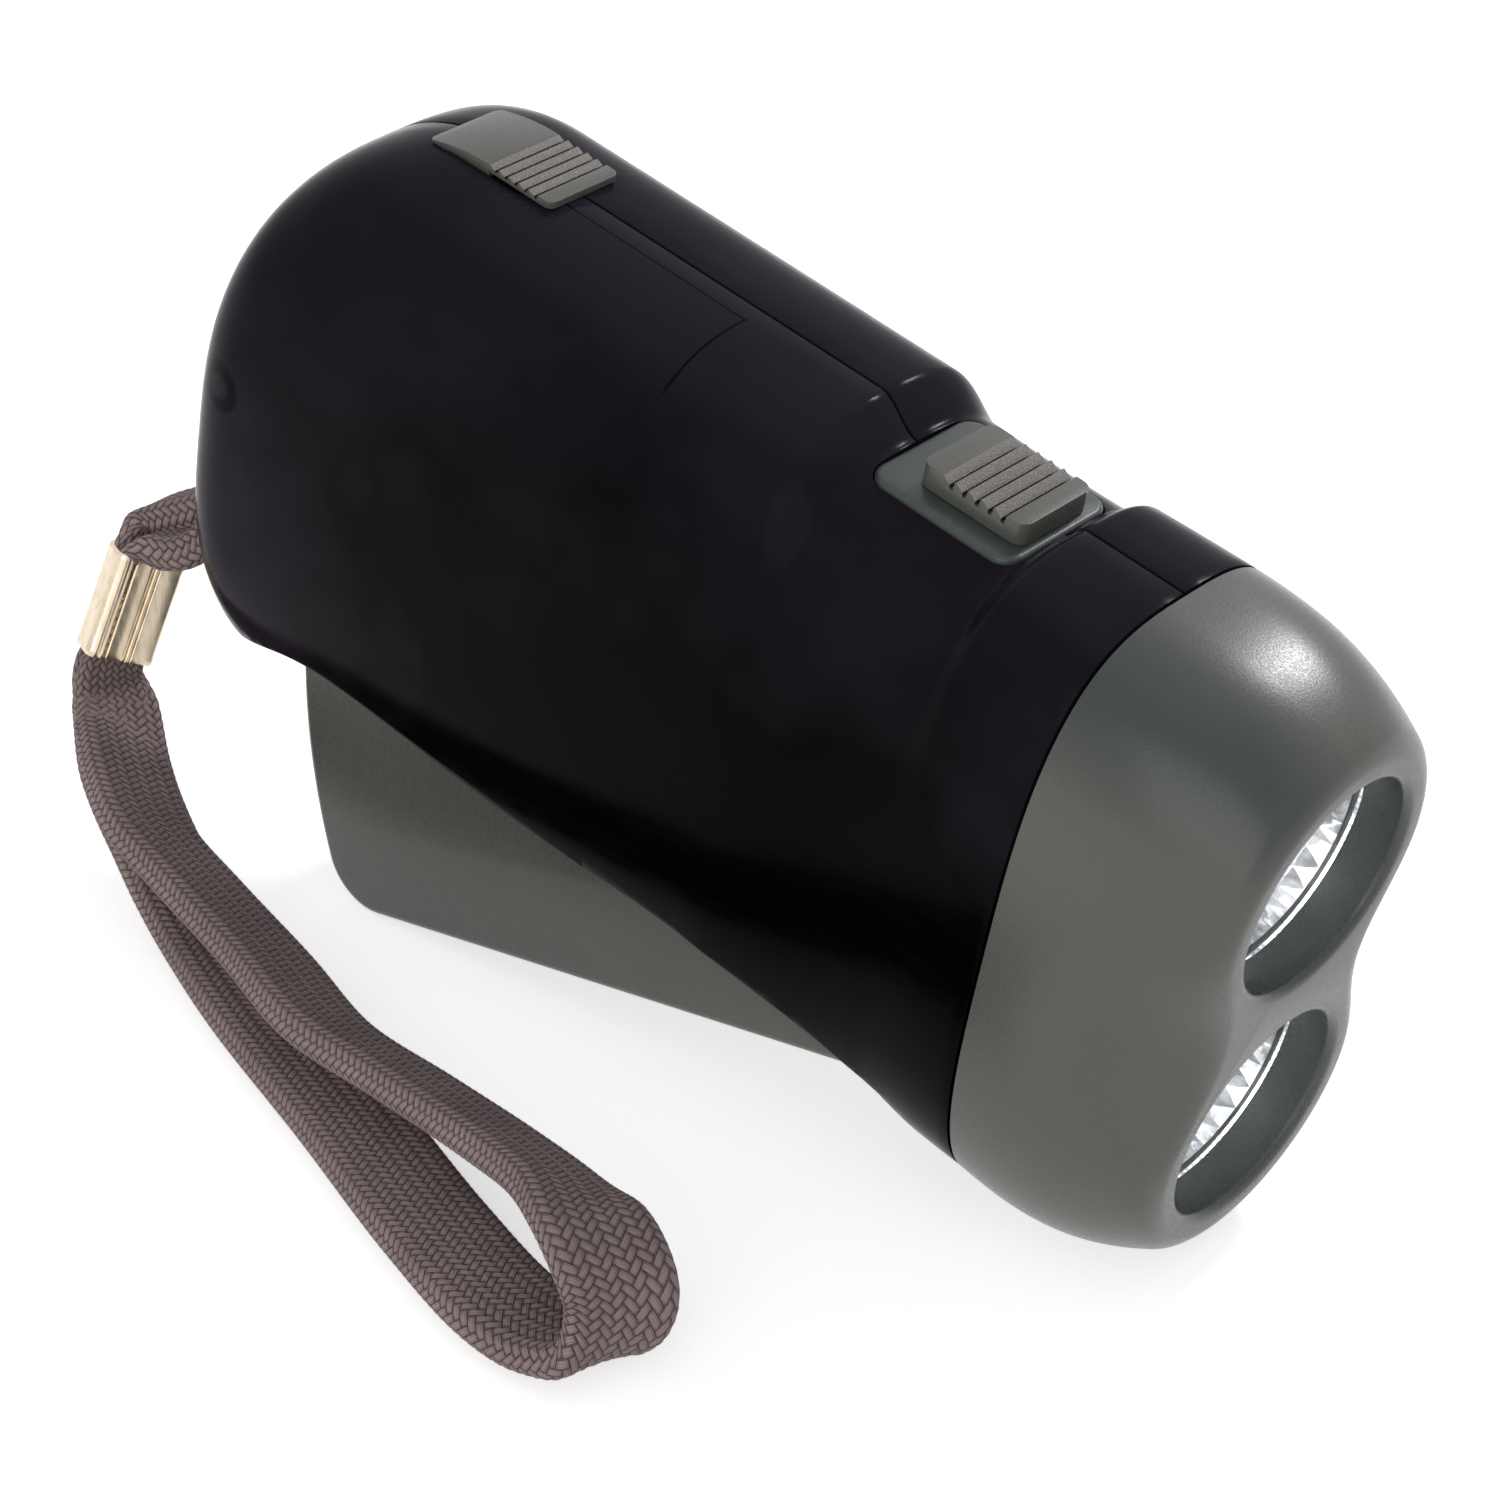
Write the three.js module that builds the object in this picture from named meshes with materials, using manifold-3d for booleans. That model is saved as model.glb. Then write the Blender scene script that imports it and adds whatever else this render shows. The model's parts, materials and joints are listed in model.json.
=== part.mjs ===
// Squeeze dynamo flashlight with two lights, a swinging lever and a wrist strap.
// Millimetres. While a piece is modelled, X points along the light, Y to the left, Z up,
// x = 0 is the joint between case and head, and z = 0 is the middle of that joint.
// The finished flashlight is then leaned nose down, as it stands on its open lever.

import * as THREE from 'three';
import { mergeVertices } from 'three/addons/utils/BufferGeometryUtils.js';
import Module from 'manifold-3d';

const wasm = await Module();
wasm.setup();

const degree = THREE.MathUtils.DEG2RAD;
const fullTurn = 2 * Math.PI;

// General clearances
const gap = 0.3;
const overrun = 2;
const runningGap = 0.5;

// Case shell
const caseLength = 86.9;
const sectionHalfWidth = 15;
const sectionHalfHeight = 27;
const sectionPower = 3.1;
const caseWall = 1.8;
const deckHeight = 27.8;
const saddleHeight = 25.4;
const deckFrontX = -28.6;
const saddleRearX = -24.6;
const saddleFrontX = -10.9;
const collarRearX = -8.7;
const rearTopRun = 19;
const rearTopRise = 23;
const rearBottomRun = 9;
const rearBottomRise = 7;
const rearSideRun = 6.5;
const rearSideDepth = 5;
const rearBelly = 23.2;
const sideBelly = 30;
const bellyRearX = -80;
const bellySideX = -70;
const bellyFrontX = -20;
const bellyCollarX = -6;
const neckWaist = 0.7;
const neckX = -14;
const neckSpread = 14;
const edgeRearX = -70.4;
const edgeFrontX = -7.5;
const edgeHeight = 19.2;
const edgeRamp = 6;
const edgeShares = [[0, 1], [0.31, 0.995], [0.46, 0.97], [0.67, 0.922], [0.84, 0.974], [0.93, 1.03], [1, 1.1]];
const seamGap = 0.3;

// Head
const headLength = 17.5;
const lobeSpacing = 22.72;
const lobeRadius = 11.9;
const waistDepth = 2.9;
const headPower = 2.6;
const headBellyDepth = 0.6;
const headWall = 1.8;
const headCavityX = 11;
const rimRound = 1.3;
const boreRadius = 9;
const lensSeatRadius = 9.8;
const lensFrontX = 13.6;
const lensThickness = 1.3;
const skirtLength = 2.6;
const skirtWall = 1.2;

// Lever
const pivotX = -15.8;
const pivotZ = -15.6;
const leverSideStep = 4.5;
const leverWidth = 2 * (sectionHalfWidth - leverSideStep);
const leverWall = 1.6;
const leverBarrel = 8;
const leverSlope = 22.5 * degree;
const leverTopAngle = -1.8 * degree;
const leverCorner = 5;
const leverSideGap = 0.8;
const leverSlotWidth = leverWidth + 2 * leverSideGap;
const pinRadius = 2;
const pinLength = leverWidth + 2 * caseWall;
const hubRadius = 4;
const hubInner = 5.5;

// Gears
const toothTipShare = 0.22;
const toothRootShare = 0.6;
const addendumShare = 0.88;
const dedendumShare = 1.25;
const sectorModule = 0.8;
const sectorTeeth = 125;
const sectorToothCount = 10;
const pinionTeeth = 10;
const driveModule = 0.6;
const driveTeeth = 34;
const rotorModule = 0.5;
const idlerTeeth = 36;
const pinionAngle = 12 * degree;
const idlerAngle = 35 * degree;
const rotorAngle = 2 * degree;
const axleRadius = 1;
const sectorRim = 4;
const sectorRearGap = 1.9;
const sectorRebate = 2.4;
const noseLength = 3;
const noseStartShare = 1.2;
const noseSpanShare = 0.9;

const sectorRadius = sectorTeeth * sectorModule / 2;
const pinionRadius = pinionTeeth * sectorModule / 2;
const driveRadius = driveTeeth * driveModule / 2;
const idlerPinionRadius = pinionTeeth * driveModule / 2;
const idlerRadius = idlerTeeth * rotorModule / 2;
const rotorPinionRadius = pinionTeeth * rotorModule / 2;
const sectorOuter = sectorRadius + dedendumShare * sectorModule + sectorRim;
const sectorArm = sectorOuter - sectorRebate;
const noseRadius = sectorOuter + noseLength;
const leverReach = sectorOuter + sectorRearGap + leverWall;
const pinionReach = sectorRadius - pinionRadius;
const driveX = pivotX - pinionReach * Math.cos(pinionAngle);
const driveZ = pivotZ + pinionReach * Math.sin(pinionAngle);
const idlerX = driveX + (driveRadius + idlerPinionRadius) * Math.cos(idlerAngle);
const idlerZ = driveZ + (driveRadius + idlerPinionRadius) * Math.sin(idlerAngle);
const rotorX = idlerX + (idlerRadius + rotorPinionRadius) * Math.cos(rotorAngle);
const rotorZ = idlerZ + (idlerRadius + rotorPinionRadius) * Math.sin(rotorAngle);

// Gearbox plates, and the layers of the train between them as shares of their half distance
const plateThickness = 0.7;
const plateRim = 3;
const plateInner = leverWidth / 2 - leverWall - plateThickness - gap;
const spacerRadius = 1.6;
const sectorFaceShare = 0.481;
const ratchetFaceShare = 0.19;
const driveBackShare = -0.165;
const driveFaceShare = 0.253;
const rotorBackShare = 0.456;
const rotorFaceShare = 0.456;
const coreBackShare = 0.544;
const sectorBack = runningGap - plateInner;
const sectorFace = sectorFaceShare * plateInner;
const ratchetFace = ratchetFaceShare * plateInner;
const driveBack = driveBackShare * plateInner;
const driveFace = driveFaceShare * plateInner;
const rotorBack = rotorBackShare * plateInner;
const rotorFace = rotorFaceShare * plateInner;
const coreBack = coreBackShare * plateInner;

// Dynamo
const rotorRadius = 10;
const magnetWall = 2.5;
const poleGap = 0.5;
const poleDepth = 1.7;
const yokeX = -19.5;
const yokeWidth = 3;
const coilRadius = 5.2;
const coilBottom = -3.5;
const coilTop = 10.3;

// Cells
const cellRadius = 5.8;
const cellHeight = 5.3;
const cellCount = 3;
const cellX = -76;
const cellZ = 11.2;
const cellContactShare = 0.7;
const trayWall = 0.6;
const trayRimShare = 0.2;

// Top controls
const plateLength = 13.8;
const plateWidth = 11.9;
const plateFrontX = -10.7;
const knobLength = 9.8;
const knobWidth = 8;
const knobTop = 27.4;
const knobFrontX = -11.5;
const knobTravel = 3;
const knobRidgeShares = [0.24, 0.86];
const lockLength = 13.2;
const lockWidth = 7.6;
const lockRearX = -72.4;
const lockRise = 1.1;
const lockRidgeShares = [0.5, 0.9];
const lockTravel = 3;
const lockLegX = -69.3;
const lockLegThickness = 1.5;
const lockHookTop = 13.2;
const lockHookHeight = 1.4;

// Boards
const boardThickness = 1.2;
const boardTop = 18.8;
const boardFrontX = -10;
const boardLength = 18;
const boardSideInset = 6;
const boardWidth = 2 * (sectionHalfWidth - boardSideInset);

// Strap
const strapWidth = 9;
const strapThickness = 3;
const strapBevel = 1;
const strapReach = 90;
const strandSpacing = 3.4;
const crimpWidth = 7.2;
const crimpDepth = 6.2;
const crimpBead = 1.25;
const strandLead = 1.8;
const postX = -83.3;
const postZ = -15.3;
const postRadius = 2;
const strapSideGap = 0.9;
const notchHalfHeight = postRadius + strapThickness + 3 * gap;
const notchWidth = strapWidth + 2 * strapSideGap;

// Colours and finishes
const finishes = {
  smoke: { color: 0x17131a, roughness: 0.18, metalness: 0 },
  grey: { color: 0x5c5c56, roughness: 0.5, metalness: 0 },
  slate: { color: 0x4b504e, roughness: 0.5, metalness: 0 },
  nylon: { color: 0xd9d6cb, roughness: 0.6, metalness: 0 },
  steel: { color: 0xb8b9bb, roughness: 0.35, metalness: 1 },
  chrome: { color: 0xe8e9ec, roughness: 0.06, metalness: 1 },
  clear: { color: 0xeef2f4, roughness: 0.05, metalness: 0 },
  copper: { color: 0xb0673a, roughness: 0.4, metalness: 1 },
  board: { color: 0x2d5a3a, roughness: 0.6, metalness: 0 },
  magnet: { color: 0x33322f, roughness: 0.7, metalness: 0.4 },
  webbing: { color: 0x5c4c50, roughness: 0.9, metalness: 0 },
  nickel: { color: 0xb3a58f, roughness: 0.25, metalness: 1 },
};

// Solids and meshes
function solidOf(geometry) {
  const bare = geometry.clone();
  bare.deleteAttribute('normal');
  bare.deleteAttribute('uv');
  const merged = mergeVertices(bare);
  return new wasm.Manifold(new wasm.Mesh({
    numProp: 3,
    vertProperties: Float32Array.from(merged.attributes.position.array),
    triVerts: Uint32Array.from(merged.index.array),
  }));
}

function geometryOf(solid) {
  const mesh = solid.getMesh();
  const geometry = new THREE.BufferGeometry();
  geometry.setAttribute('position', new THREE.BufferAttribute(Float32Array.from(mesh.vertProperties), 3));
  geometry.setIndex(new THREE.BufferAttribute(Uint32Array.from(mesh.triVerts), 1));
  geometry.computeVertexNormals();
  return geometry;
}

function piece(name, shape, finish) {
  const geometry = shape.isBufferGeometry ? shape : geometryOf(shape);
  const mesh = new THREE.Mesh(geometry, new THREE.MeshStandardMaterial(finishes[finish]));
  mesh.name = name;
  return mesh;
}

function pieceAt(name, shape, finish, x, z) {
  const mesh = piece(name, shape, finish);
  mesh.position.set(x, 0, z);
  return mesh;
}

function joined(solids) {
  return solids.reduce((sum, solid) => sum.add(solid));
}

function block(x0, x1, y0, y1, z0, z1) {
  const geometry = new THREE.BoxGeometry(x1 - x0, y1 - y0, z1 - z0);
  geometry.translate((x0 + x1) / 2, (y0 + y1) / 2, (z0 + z1) / 2);
  return solidOf(geometry);
}

function rodY(x, z, radius, y0, y1, sides = 20) {
  const geometry = new THREE.CylinderGeometry(radius, radius, y1 - y0, sides);
  geometry.translate(x, (y0 + y1) / 2, z);
  return solidOf(geometry);
}

function rodX(y, z, radius, x0, x1, sides = 20) {
  const geometry = new THREE.CylinderGeometry(radius, radius, x1 - x0, sides);
  geometry.rotateZ(-fullTurn / 4);
  geometry.translate((x0 + x1) / 2, y, z);
  return solidOf(geometry);
}

// A prism whose outline lies in the XZ plane
function prismY(outline, y0, y1, curveSegments = 12) {
  const shape = outline instanceof THREE.Shape ? outline : new THREE.Shape(outline);
  const geometry = new THREE.ExtrudeGeometry(shape, { depth: y1 - y0, bevelEnabled: false, curveSegments });
  geometry.rotateX(fullTurn / 4);
  geometry.translate(0, y1, 0);
  return solidOf(geometry);
}

// A turned piece whose profile of (radius, height) points is swept round the X axis
function turnedX(profile, sides) {
  const geometry = new THREE.LatheGeometry(profile.map(([r, x]) => new THREE.Vector2(r, x)), sides);
  geometry.rotateZ(-fullTurn / 4);
  return geometry;
}

// A closed skin through rings that all have the same number of points
function loft(rings) {
  const count = rings[0].length;
  const positions = rings.flat();
  const index = [];
  for (let i = 0; i + 1 < rings.length; i += 1) {
    for (let j = 0; j < count; j += 1) {
      const a = i * count + j;
      const b = i * count + (j + 1) % count;
      index.push(a, b, b + count, a, b + count, a + count);
    }
  }
  for (const [first, flip] of [[0, true], [(rings.length - 1) * count, false]]) {
    const middle = positions.length;
    const ring = positions.slice(first, first + count);
    positions.push(ring.reduce((sum, p) => sum.add(p), new THREE.Vector3()).divideScalar(count));
    for (let j = 0; j < count; j += 1) {
      const a = first + j;
      const b = first + (j + 1) % count;
      index.push(...(flip ? [b, a, middle] : [a, b, middle]));
    }
  }
  const geometry = new THREE.BufferGeometry().setFromPoints(positions);
  geometry.setIndex(index);
  return solidOf(geometry);
}

// Cross-sections
const lobeZ = lobeSpacing / 2;
const flankShare = lobeZ / sectionHalfHeight;
const flankSteps = 3;
const cornerSteps = 5;
const quarterSteps = flankSteps + cornerSteps;

// One quarter of a squared oval, from its side (step 0) to its top (last step)
function ovalPoint(step, half, height) {
  const power = sectionPower;
  if (step < flankSteps) {
    const rise = flankShare * step / flankSteps;
    return [half * (1 - rise ** power) ** (1 / power), height * rise];
  }
  const start = Math.asin(flankShare ** (power / 2));
  const angle = start + (fullTurn / 4 - start) * (step - flankSteps) / cornerSteps;
  return [half * Math.abs(Math.cos(angle)) ** (2 / power), height * Math.sin(angle) ** (2 / power)];
}

// One quarter of the outline round two bores, with its waist on the side
function lobePoint(step, radius) {
  if (step < flankSteps) {
    const rise = step / flankSteps;
    return [radius - waistDepth * Math.cos(rise * fullTurn / 4) ** 2, lobeZ * rise];
  }
  const angle = (fullTurn / 4) * (step - flankSteps) / cornerSteps;
  return [radius * Math.cos(angle), lobeZ + radius * Math.sin(angle)];
}

// A whole ring at x from a function that gives a quarter's half width and height
function ring(x, middle, quarter) {
  const points = [];
  for (let i = 0; i < 4 * quarterSteps; i += 1) {
    const turn = Math.floor(i / quarterSteps);
    const along = i % quarterSteps;
    const odd = turn % 2 === 1;
    const [y, z] = quarter(odd ? quarterSteps - along : along, turn < 2);
    points.push(new THREE.Vector3(x, turn === 1 || turn === 2 ? -y : y, middle + (turn < 2 ? z : -z)));
  }
  return points;
}

// How far an elliptical corner lies inside its straight sides, at a distance from the end
function cornerDrop(distance, run, rise) {
  if (distance >= run) {
    return 0;
  }
  const back = (run - Math.max(distance, 0)) / run;
  return rise * (1 - Math.sqrt(1 - back * back));
}

function caseTop(x) {
  const fall = (deckHeight - saddleHeight) * THREE.MathUtils.smoothstep(x, deckFrontX, saddleRearX);
  const rise = (sectionHalfHeight - saddleHeight) * THREE.MathUtils.smoothstep(x, saddleFrontX, collarRearX);
  return deckHeight - fall + rise;
}

function caseBottom(x) {
  const fall = (sideBelly - rearBelly) * THREE.MathUtils.smoothstep(x, bellyRearX, bellySideX);
  const rise = (sideBelly - sectionHalfHeight) * THREE.MathUtils.smoothstep(x, bellyFrontX, bellyCollarX);
  return -rearBelly - fall + rise;
}

function caseHalfWidth(x) {
  const away = Math.min(Math.abs(x - neckX) / neckSpread, 1);
  return sectionHalfWidth - neckWaist * Math.cos(away * fullTurn / 4) ** 2;
}

function caseRing(x, inset) {
  const distance = x + caseLength - inset;
  const top = caseTop(x) - inset - cornerDrop(distance, rearTopRun - inset, rearTopRise - inset);
  const bottom = caseBottom(x) + inset + cornerDrop(distance, rearBottomRun - inset, rearBottomRise - inset);
  const half = caseHalfWidth(x) - inset - cornerDrop(distance, rearSideRun - inset, rearSideDepth - inset);
  return ring(x, (top + bottom) / 2, (step) => ovalPoint(step, half, (top - bottom) / 2));
}

// Where the case is cut into rings, as shares of the rear corner and then of the straight run
const rearRingShares = [0, 0.03, 0.1, 0.21, 0.36, 0.55, 0.78];
const deckRingCount = 4;
const saddleRingCount = 4;

function caseStations(inset, front) {
  const rear = -caseLength + inset;
  const stations = rearRingShares.map((share) => rear + share * (rearTopRun - inset));
  const cornerX = -caseLength + rearTopRun;
  for (let i = 0; i < deckRingCount; i += 1) {
    stations.push(cornerX + (deckFrontX - cornerX) * i / deckRingCount);
  }
  for (let i = 0; i <= saddleRingCount; i += 1) {
    stations.push(deckFrontX + (saddleRearX - deckFrontX) * i / saddleRingCount);
  }
  stations.push((saddleRearX + saddleFrontX) / 2, saddleFrontX);
  stations.push((saddleFrontX + collarRearX) / 2, collarRearX, collarRearX / 2, front);
  return stations;
}

// Head sections blend from the case's oval to the outline round the bores
function headRing(x, inset) {
  const blend = (x / headLength) ** headPower;
  const bulge = headBellyDepth * Math.sin(Math.PI * Math.min(x / headLength, 1));
  return ring(x, 0, (step, upper) => {
    const oval = ovalPoint(step, sectionHalfWidth - inset, sectionHalfHeight - inset);
    const lobe = lobePoint(step, lobeRadius - inset);
    const sag = upper ? 0 : bulge * oval[1] / sectionHalfHeight;
    return [
      THREE.MathUtils.lerp(oval[0], lobe[0], blend),
      THREE.MathUtils.lerp(oval[1], lobe[1], blend) + sag,
    ];
  });
}

// Case halves
const caseScrewShares = [[-0.9425, 0.107], [-0.529, 0.763], [-0.071, 0.296]];
const caseScrews = caseScrewShares.map(([x, z]) => [x * caseLength, z * sectionHalfHeight]);
const caseBossRadius = 3;
const screwRadius = 1;
const screwHeadRadius = 2;
const screwHeadInset = 6.4;
const screwHeadY = sectionHalfWidth - screwHeadInset;
const screwHeadHeight = 1.3;
const screwTipInset = 8;
const screwTipY = screwTipInset - sectionHalfWidth;
const spacerShares = [[-0.852, 0.643], [-0.656, 0.122], [-0.33, 0.078]];
const gearPostShares = [[-0.852, 0.643], [-0.32, 0.648]];
const fromPivot = ([x, z]) => [pivotX + x * pinionReach, pivotZ + z * pinionReach];
const spacerPlaces = spacerShares.map(fromPivot);
const gearPostPlaces = gearPostShares.map(fromPivot);
const plateBossRadius = 2.4;
const strapNotchRearX = -caseLength - overrun;
const pivotBossRadius = 3.5;
const pivotBossInner = leverWidth / 2 + gap;
const boardRibWidth = 1;
const boardRibLength = 15.5;
const springRibX = -10.9;
const springRibTop = 0;
const springRibHeight = 5.5;

function caseSkin(inset, front) {
  return loft(caseStations(inset, front).map((x) => caseRing(x, inset)));
}

function leverOpening() {
  const low = -sideBelly - overrun;
  const slotRear = pivotX - leverReach - gap;
  const slotFront = pivotX + leverBarrel + gap;
  const wide = 2 * sectionHalfWidth;
  const rim = edgeShares.map(([along, high]) => new THREE.Vector2(
    THREE.MathUtils.lerp(edgeRearX, edgeFrontX, along), -high * edgeHeight));
  const edge = prismY([
    new THREE.Vector2(edgeRearX - edgeRamp, low),
    new THREE.Vector2(edgeFrontX + edgeRamp / 2, low),
    new THREE.Vector2(edgeFrontX + edgeRamp / 2, -rearBelly),
    ...rim.reverse(),
    new THREE.Vector2(edgeRearX - edgeRamp, -rearBelly),
  ], -wide, wide);
  const slot = block(slotRear, slotFront, -leverSlotWidth / 2, leverSlotWidth / 2, low, pivotZ - pinRadius);
  return edge.add(slot);
}

function topOpenings() {
  const plateRearX = plateFrontX - plateLength;
  const plate = block(plateRearX - gap, plateFrontX + gap, -plateWidth / 2 - gap, plateWidth / 2 + gap,
    saddleHeight - 2 * caseWall, saddleHeight + overrun);
  const slotFront = lockLegX + lockLegThickness + lockTravel + gap;
  const slot = block(lockLegX - gap, slotFront, -lockLegHalf - gap, lockLegHalf + gap,
    deckHeight - 2 * caseWall, deckHeight + overrun);
  return plate.add(slot);
}

function caseFittings(inside) {
  const wide = sectionHalfWidth;
  const screwPosts = caseScrews.map(([x, z]) => rodY(x, z, caseBossRadius, -wide, wide, 12));
  const gearPosts = gearPostPlaces.flatMap(([x, z]) => [-1, 1].map((side) => {
    const inner = side * (plateInner + plateThickness + gap);
    return rodY(x, z, plateBossRadius, Math.min(inner, side * wide), Math.max(inner, side * wide), 12);
  }));
  const pivotPosts = [-1, 1].map((side) => rodY(pivotX, pivotZ, pivotBossRadius,
    Math.min(side * pivotBossInner, side * wide), Math.max(side * pivotBossInner, side * wide), 14));
  const boardRibs = [-1, 1].map((side) => {
    const inner = side * (boardWidth / 2 - boardRibWidth);
    return block(boardFrontX - boardRibLength, boardFrontX, Math.min(inner, side * wide),
      Math.max(inner, side * wide), boardTop - boardThickness - gap - boardRibWidth, boardTop - boardThickness - gap);
  });
  const springRib = block(springRibX, springRibX + boardRibWidth, -wide, -boardRibWidth,
    springRibTop - springRibHeight, springRibTop);
  const post = rodY(postX, postZ, postRadius, -wide, wide, 16);
  return joined([...screwPosts, ...gearPosts, ...pivotPosts, ...boardRibs, springRib, post]).intersect(inside);
}

function caseHoles() {
  const wide = sectionHalfWidth;
  const screwHoles = caseScrews.flatMap(([x, z]) => [
    rodY(x, z, screwRadius + gap, screwTipY - gap, wide + overrun, 8),
    rodY(x, z, screwHeadRadius + gap, screwHeadY, wide + overrun, 12),
  ]);
  const pinHole = rodY(pivotX, pivotZ, pinRadius + gap, -pinLength / 2 - gap, pinLength / 2 + gap, 14);
  return joined([...screwHoles, pinHole]);
}

function strapNotch() {
  return block(strapNotchRearX, postX + postRadius + gap, -notchWidth / 2, notchWidth / 2,
    postZ - notchHalfHeight, postZ + notchHalfHeight);
}

function caseHalves() {
  const hollow = caseSkin(caseWall, overrun);
  const shell = caseSkin(0, 0).subtract(hollow).subtract(leverOpening()).subtract(topOpenings())
    .subtract(strapNotch());
  const whole = shell.add(caseFittings(caseSkin(caseWall / 2, -caseWall))).subtract(caseHoles());
  const far = 2 * caseLength;
  const rightSide = block(-far, far, -far, -seamGap / 2, -far, far);
  const leftSide = block(-far, far, seamGap / 2, far, -far, far);
  return [
    piece('case_right', whole.intersect(rightSide), 'smoke'),
    piece('case_left', whole.intersect(leftSide), 'smoke'),
  ];
}

function screwSolid(shankRadius, headRadius, headHeight, tip, seat) {
  const shank = rodY(0, 0, shankRadius, tip, seat + headHeight / 2, 10);
  const head = rodY(0, 0, headRadius, seat, seat + headHeight, 16);
  const recessRadius = headRadius / 2;
  const cross = block(-recessRadius, recessRadius, seat + headHeight / 2, seat + headHeight + overrun,
    -shankRadius / 4, shankRadius / 4);
  const bar = block(-shankRadius / 4, shankRadius / 4, seat + headHeight / 2, seat + headHeight + overrun,
    -recessRadius, recessRadius);
  return shank.add(head).subtract(cross.add(bar));
}

function caseScrewPieces() {
  return caseScrews.map(([x, z], i) => pieceAt(`case_screw_${i + 1}`,
    screwSolid(screwRadius, screwHeadRadius, screwHeadHeight, screwTipY, screwHeadY + gap), 'steel', x, z));
}

// Head bezel with its bores, reflectors, lenses and lights
const headRingShares = [0, 0.2, 0.4, 0.56, 0.7, 0.82, 0.925];
const rimRingShares = [0.3, 0.75, 1];
const cavityRingShares = [0, 0.4, 0.75, 1];
const headPostInset = 6.5;
const headPostY = sectionHalfWidth - headPostInset;
const headPostRadius = 2;
const ledBoardRear = 1;
const ledBoardThickness = 1.4;
const ledRadius = 2.5;
const ledFlange = 2.9;
const ledLength = 5.6;
const reflectorThroat = 3.2;
const reflectorRearX = 4.4;
const reflectorWall = 0.8;
const bowlShares = [0, 0.35, 0.7, 1];
const domeShares = [0.35, 0.7];
const lobeSides = 24;

// The tongue that slides into the case, and the hollow behind the lights
function tongueRing(x, inset) {
  return ring(x, 0, (step) => ovalPoint(step, sectionHalfWidth - inset, sectionHalfHeight - inset));
}

function headBody() {
  const round = headLength - rimRound;
  const inset = caseWall + gap;
  const rings = [tongueRing(-skirtLength, inset), tongueRing(gap, inset)];
  rings.push(...headRingShares.map((share) => headRing(gap + share * (headLength - gap), 0)));
  for (const share of rimRingShares) {
    const angle = share * fullTurn / 4;
    rings.push(headRing(round + rimRound * Math.sin(angle), rimRound * (1 - Math.cos(angle))));
  }
  return loft(rings);
}

function headCavity() {
  const inset = caseWall + gap + skirtWall;
  const rings = cavityRingShares.map((share) => headRing(headWall + share * (headCavityX - headWall), headWall));
  return loft([tongueRing(-skirtLength - overrun, inset), tongueRing(headWall, inset), ...rings]);
}

function headBezel() {
  let solid = headBody().subtract(headCavity());
  for (const side of [-1, 1]) {
    const postEnd = ledBoardRear + ledBoardThickness + gap;
    solid = solid.add(rodX(side * headPostY, 0, headPostRadius, postEnd, headCavityX + headWall, 12));
    solid = solid.subtract(rodX(side * headPostY, 0, screwRadius, 0, headCavityX - headWall, 10));
    solid = solid.subtract(rodX(0, side * lobeZ, boreRadius, headCavityX, headLength + overrun, 36));
    solid = solid.subtract(rodX(0, side * lobeZ, lensSeatRadius, headCavityX - overrun, lensFrontX, lobeSides));
  }
  return piece('head_bezel', solid, 'grey');
}

function lensGeometry() {
  const radius = lensSeatRadius - gap;
  const front = lensFrontX - gap;
  return turnedX([[0, front - lensThickness], [radius, front - lensThickness], [radius, front], [0, front]], lobeSides);
}

// A bright bowl, deepening from its rim to the throat round the light
function reflectorGeometry() {
  const rimX = lensFrontX - lensThickness - 2 * gap;
  const depth = rimX - reflectorRearX;
  const bowl = boreRadius - reflectorThroat;
  const inside = bowlShares.map((share) => [reflectorThroat + bowl * share, reflectorRearX + depth * share ** 2]);
  const outside = bowlShares.map((share) => [reflectorThroat + reflectorWall + (bowl - gap) * share,
    reflectorRearX - reflectorWall * (1 - share) + (depth - reflectorWall) * share ** 2]);
  const closed = [...outside, ...inside.reverse()];
  return turnedX([...closed, closed[0]], lobeSides);
}

function ledGeometry() {
  const base = ledBoardRear + ledBoardThickness + gap;
  const dome = base + ledLength;
  const rows = [[0, base], [ledFlange, base], [ledFlange, base + 2 * gap], [ledRadius, base + 2 * gap], [ledRadius, dome]];
  for (const share of domeShares) {
    rows.push([ledRadius * Math.cos(share * fullTurn / 4), dome + ledRadius * Math.sin(share * fullTurn / 4)]);
  }
  rows.push([0, dome + ledRadius]);
  return turnedX(rows, 16);
}

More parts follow.
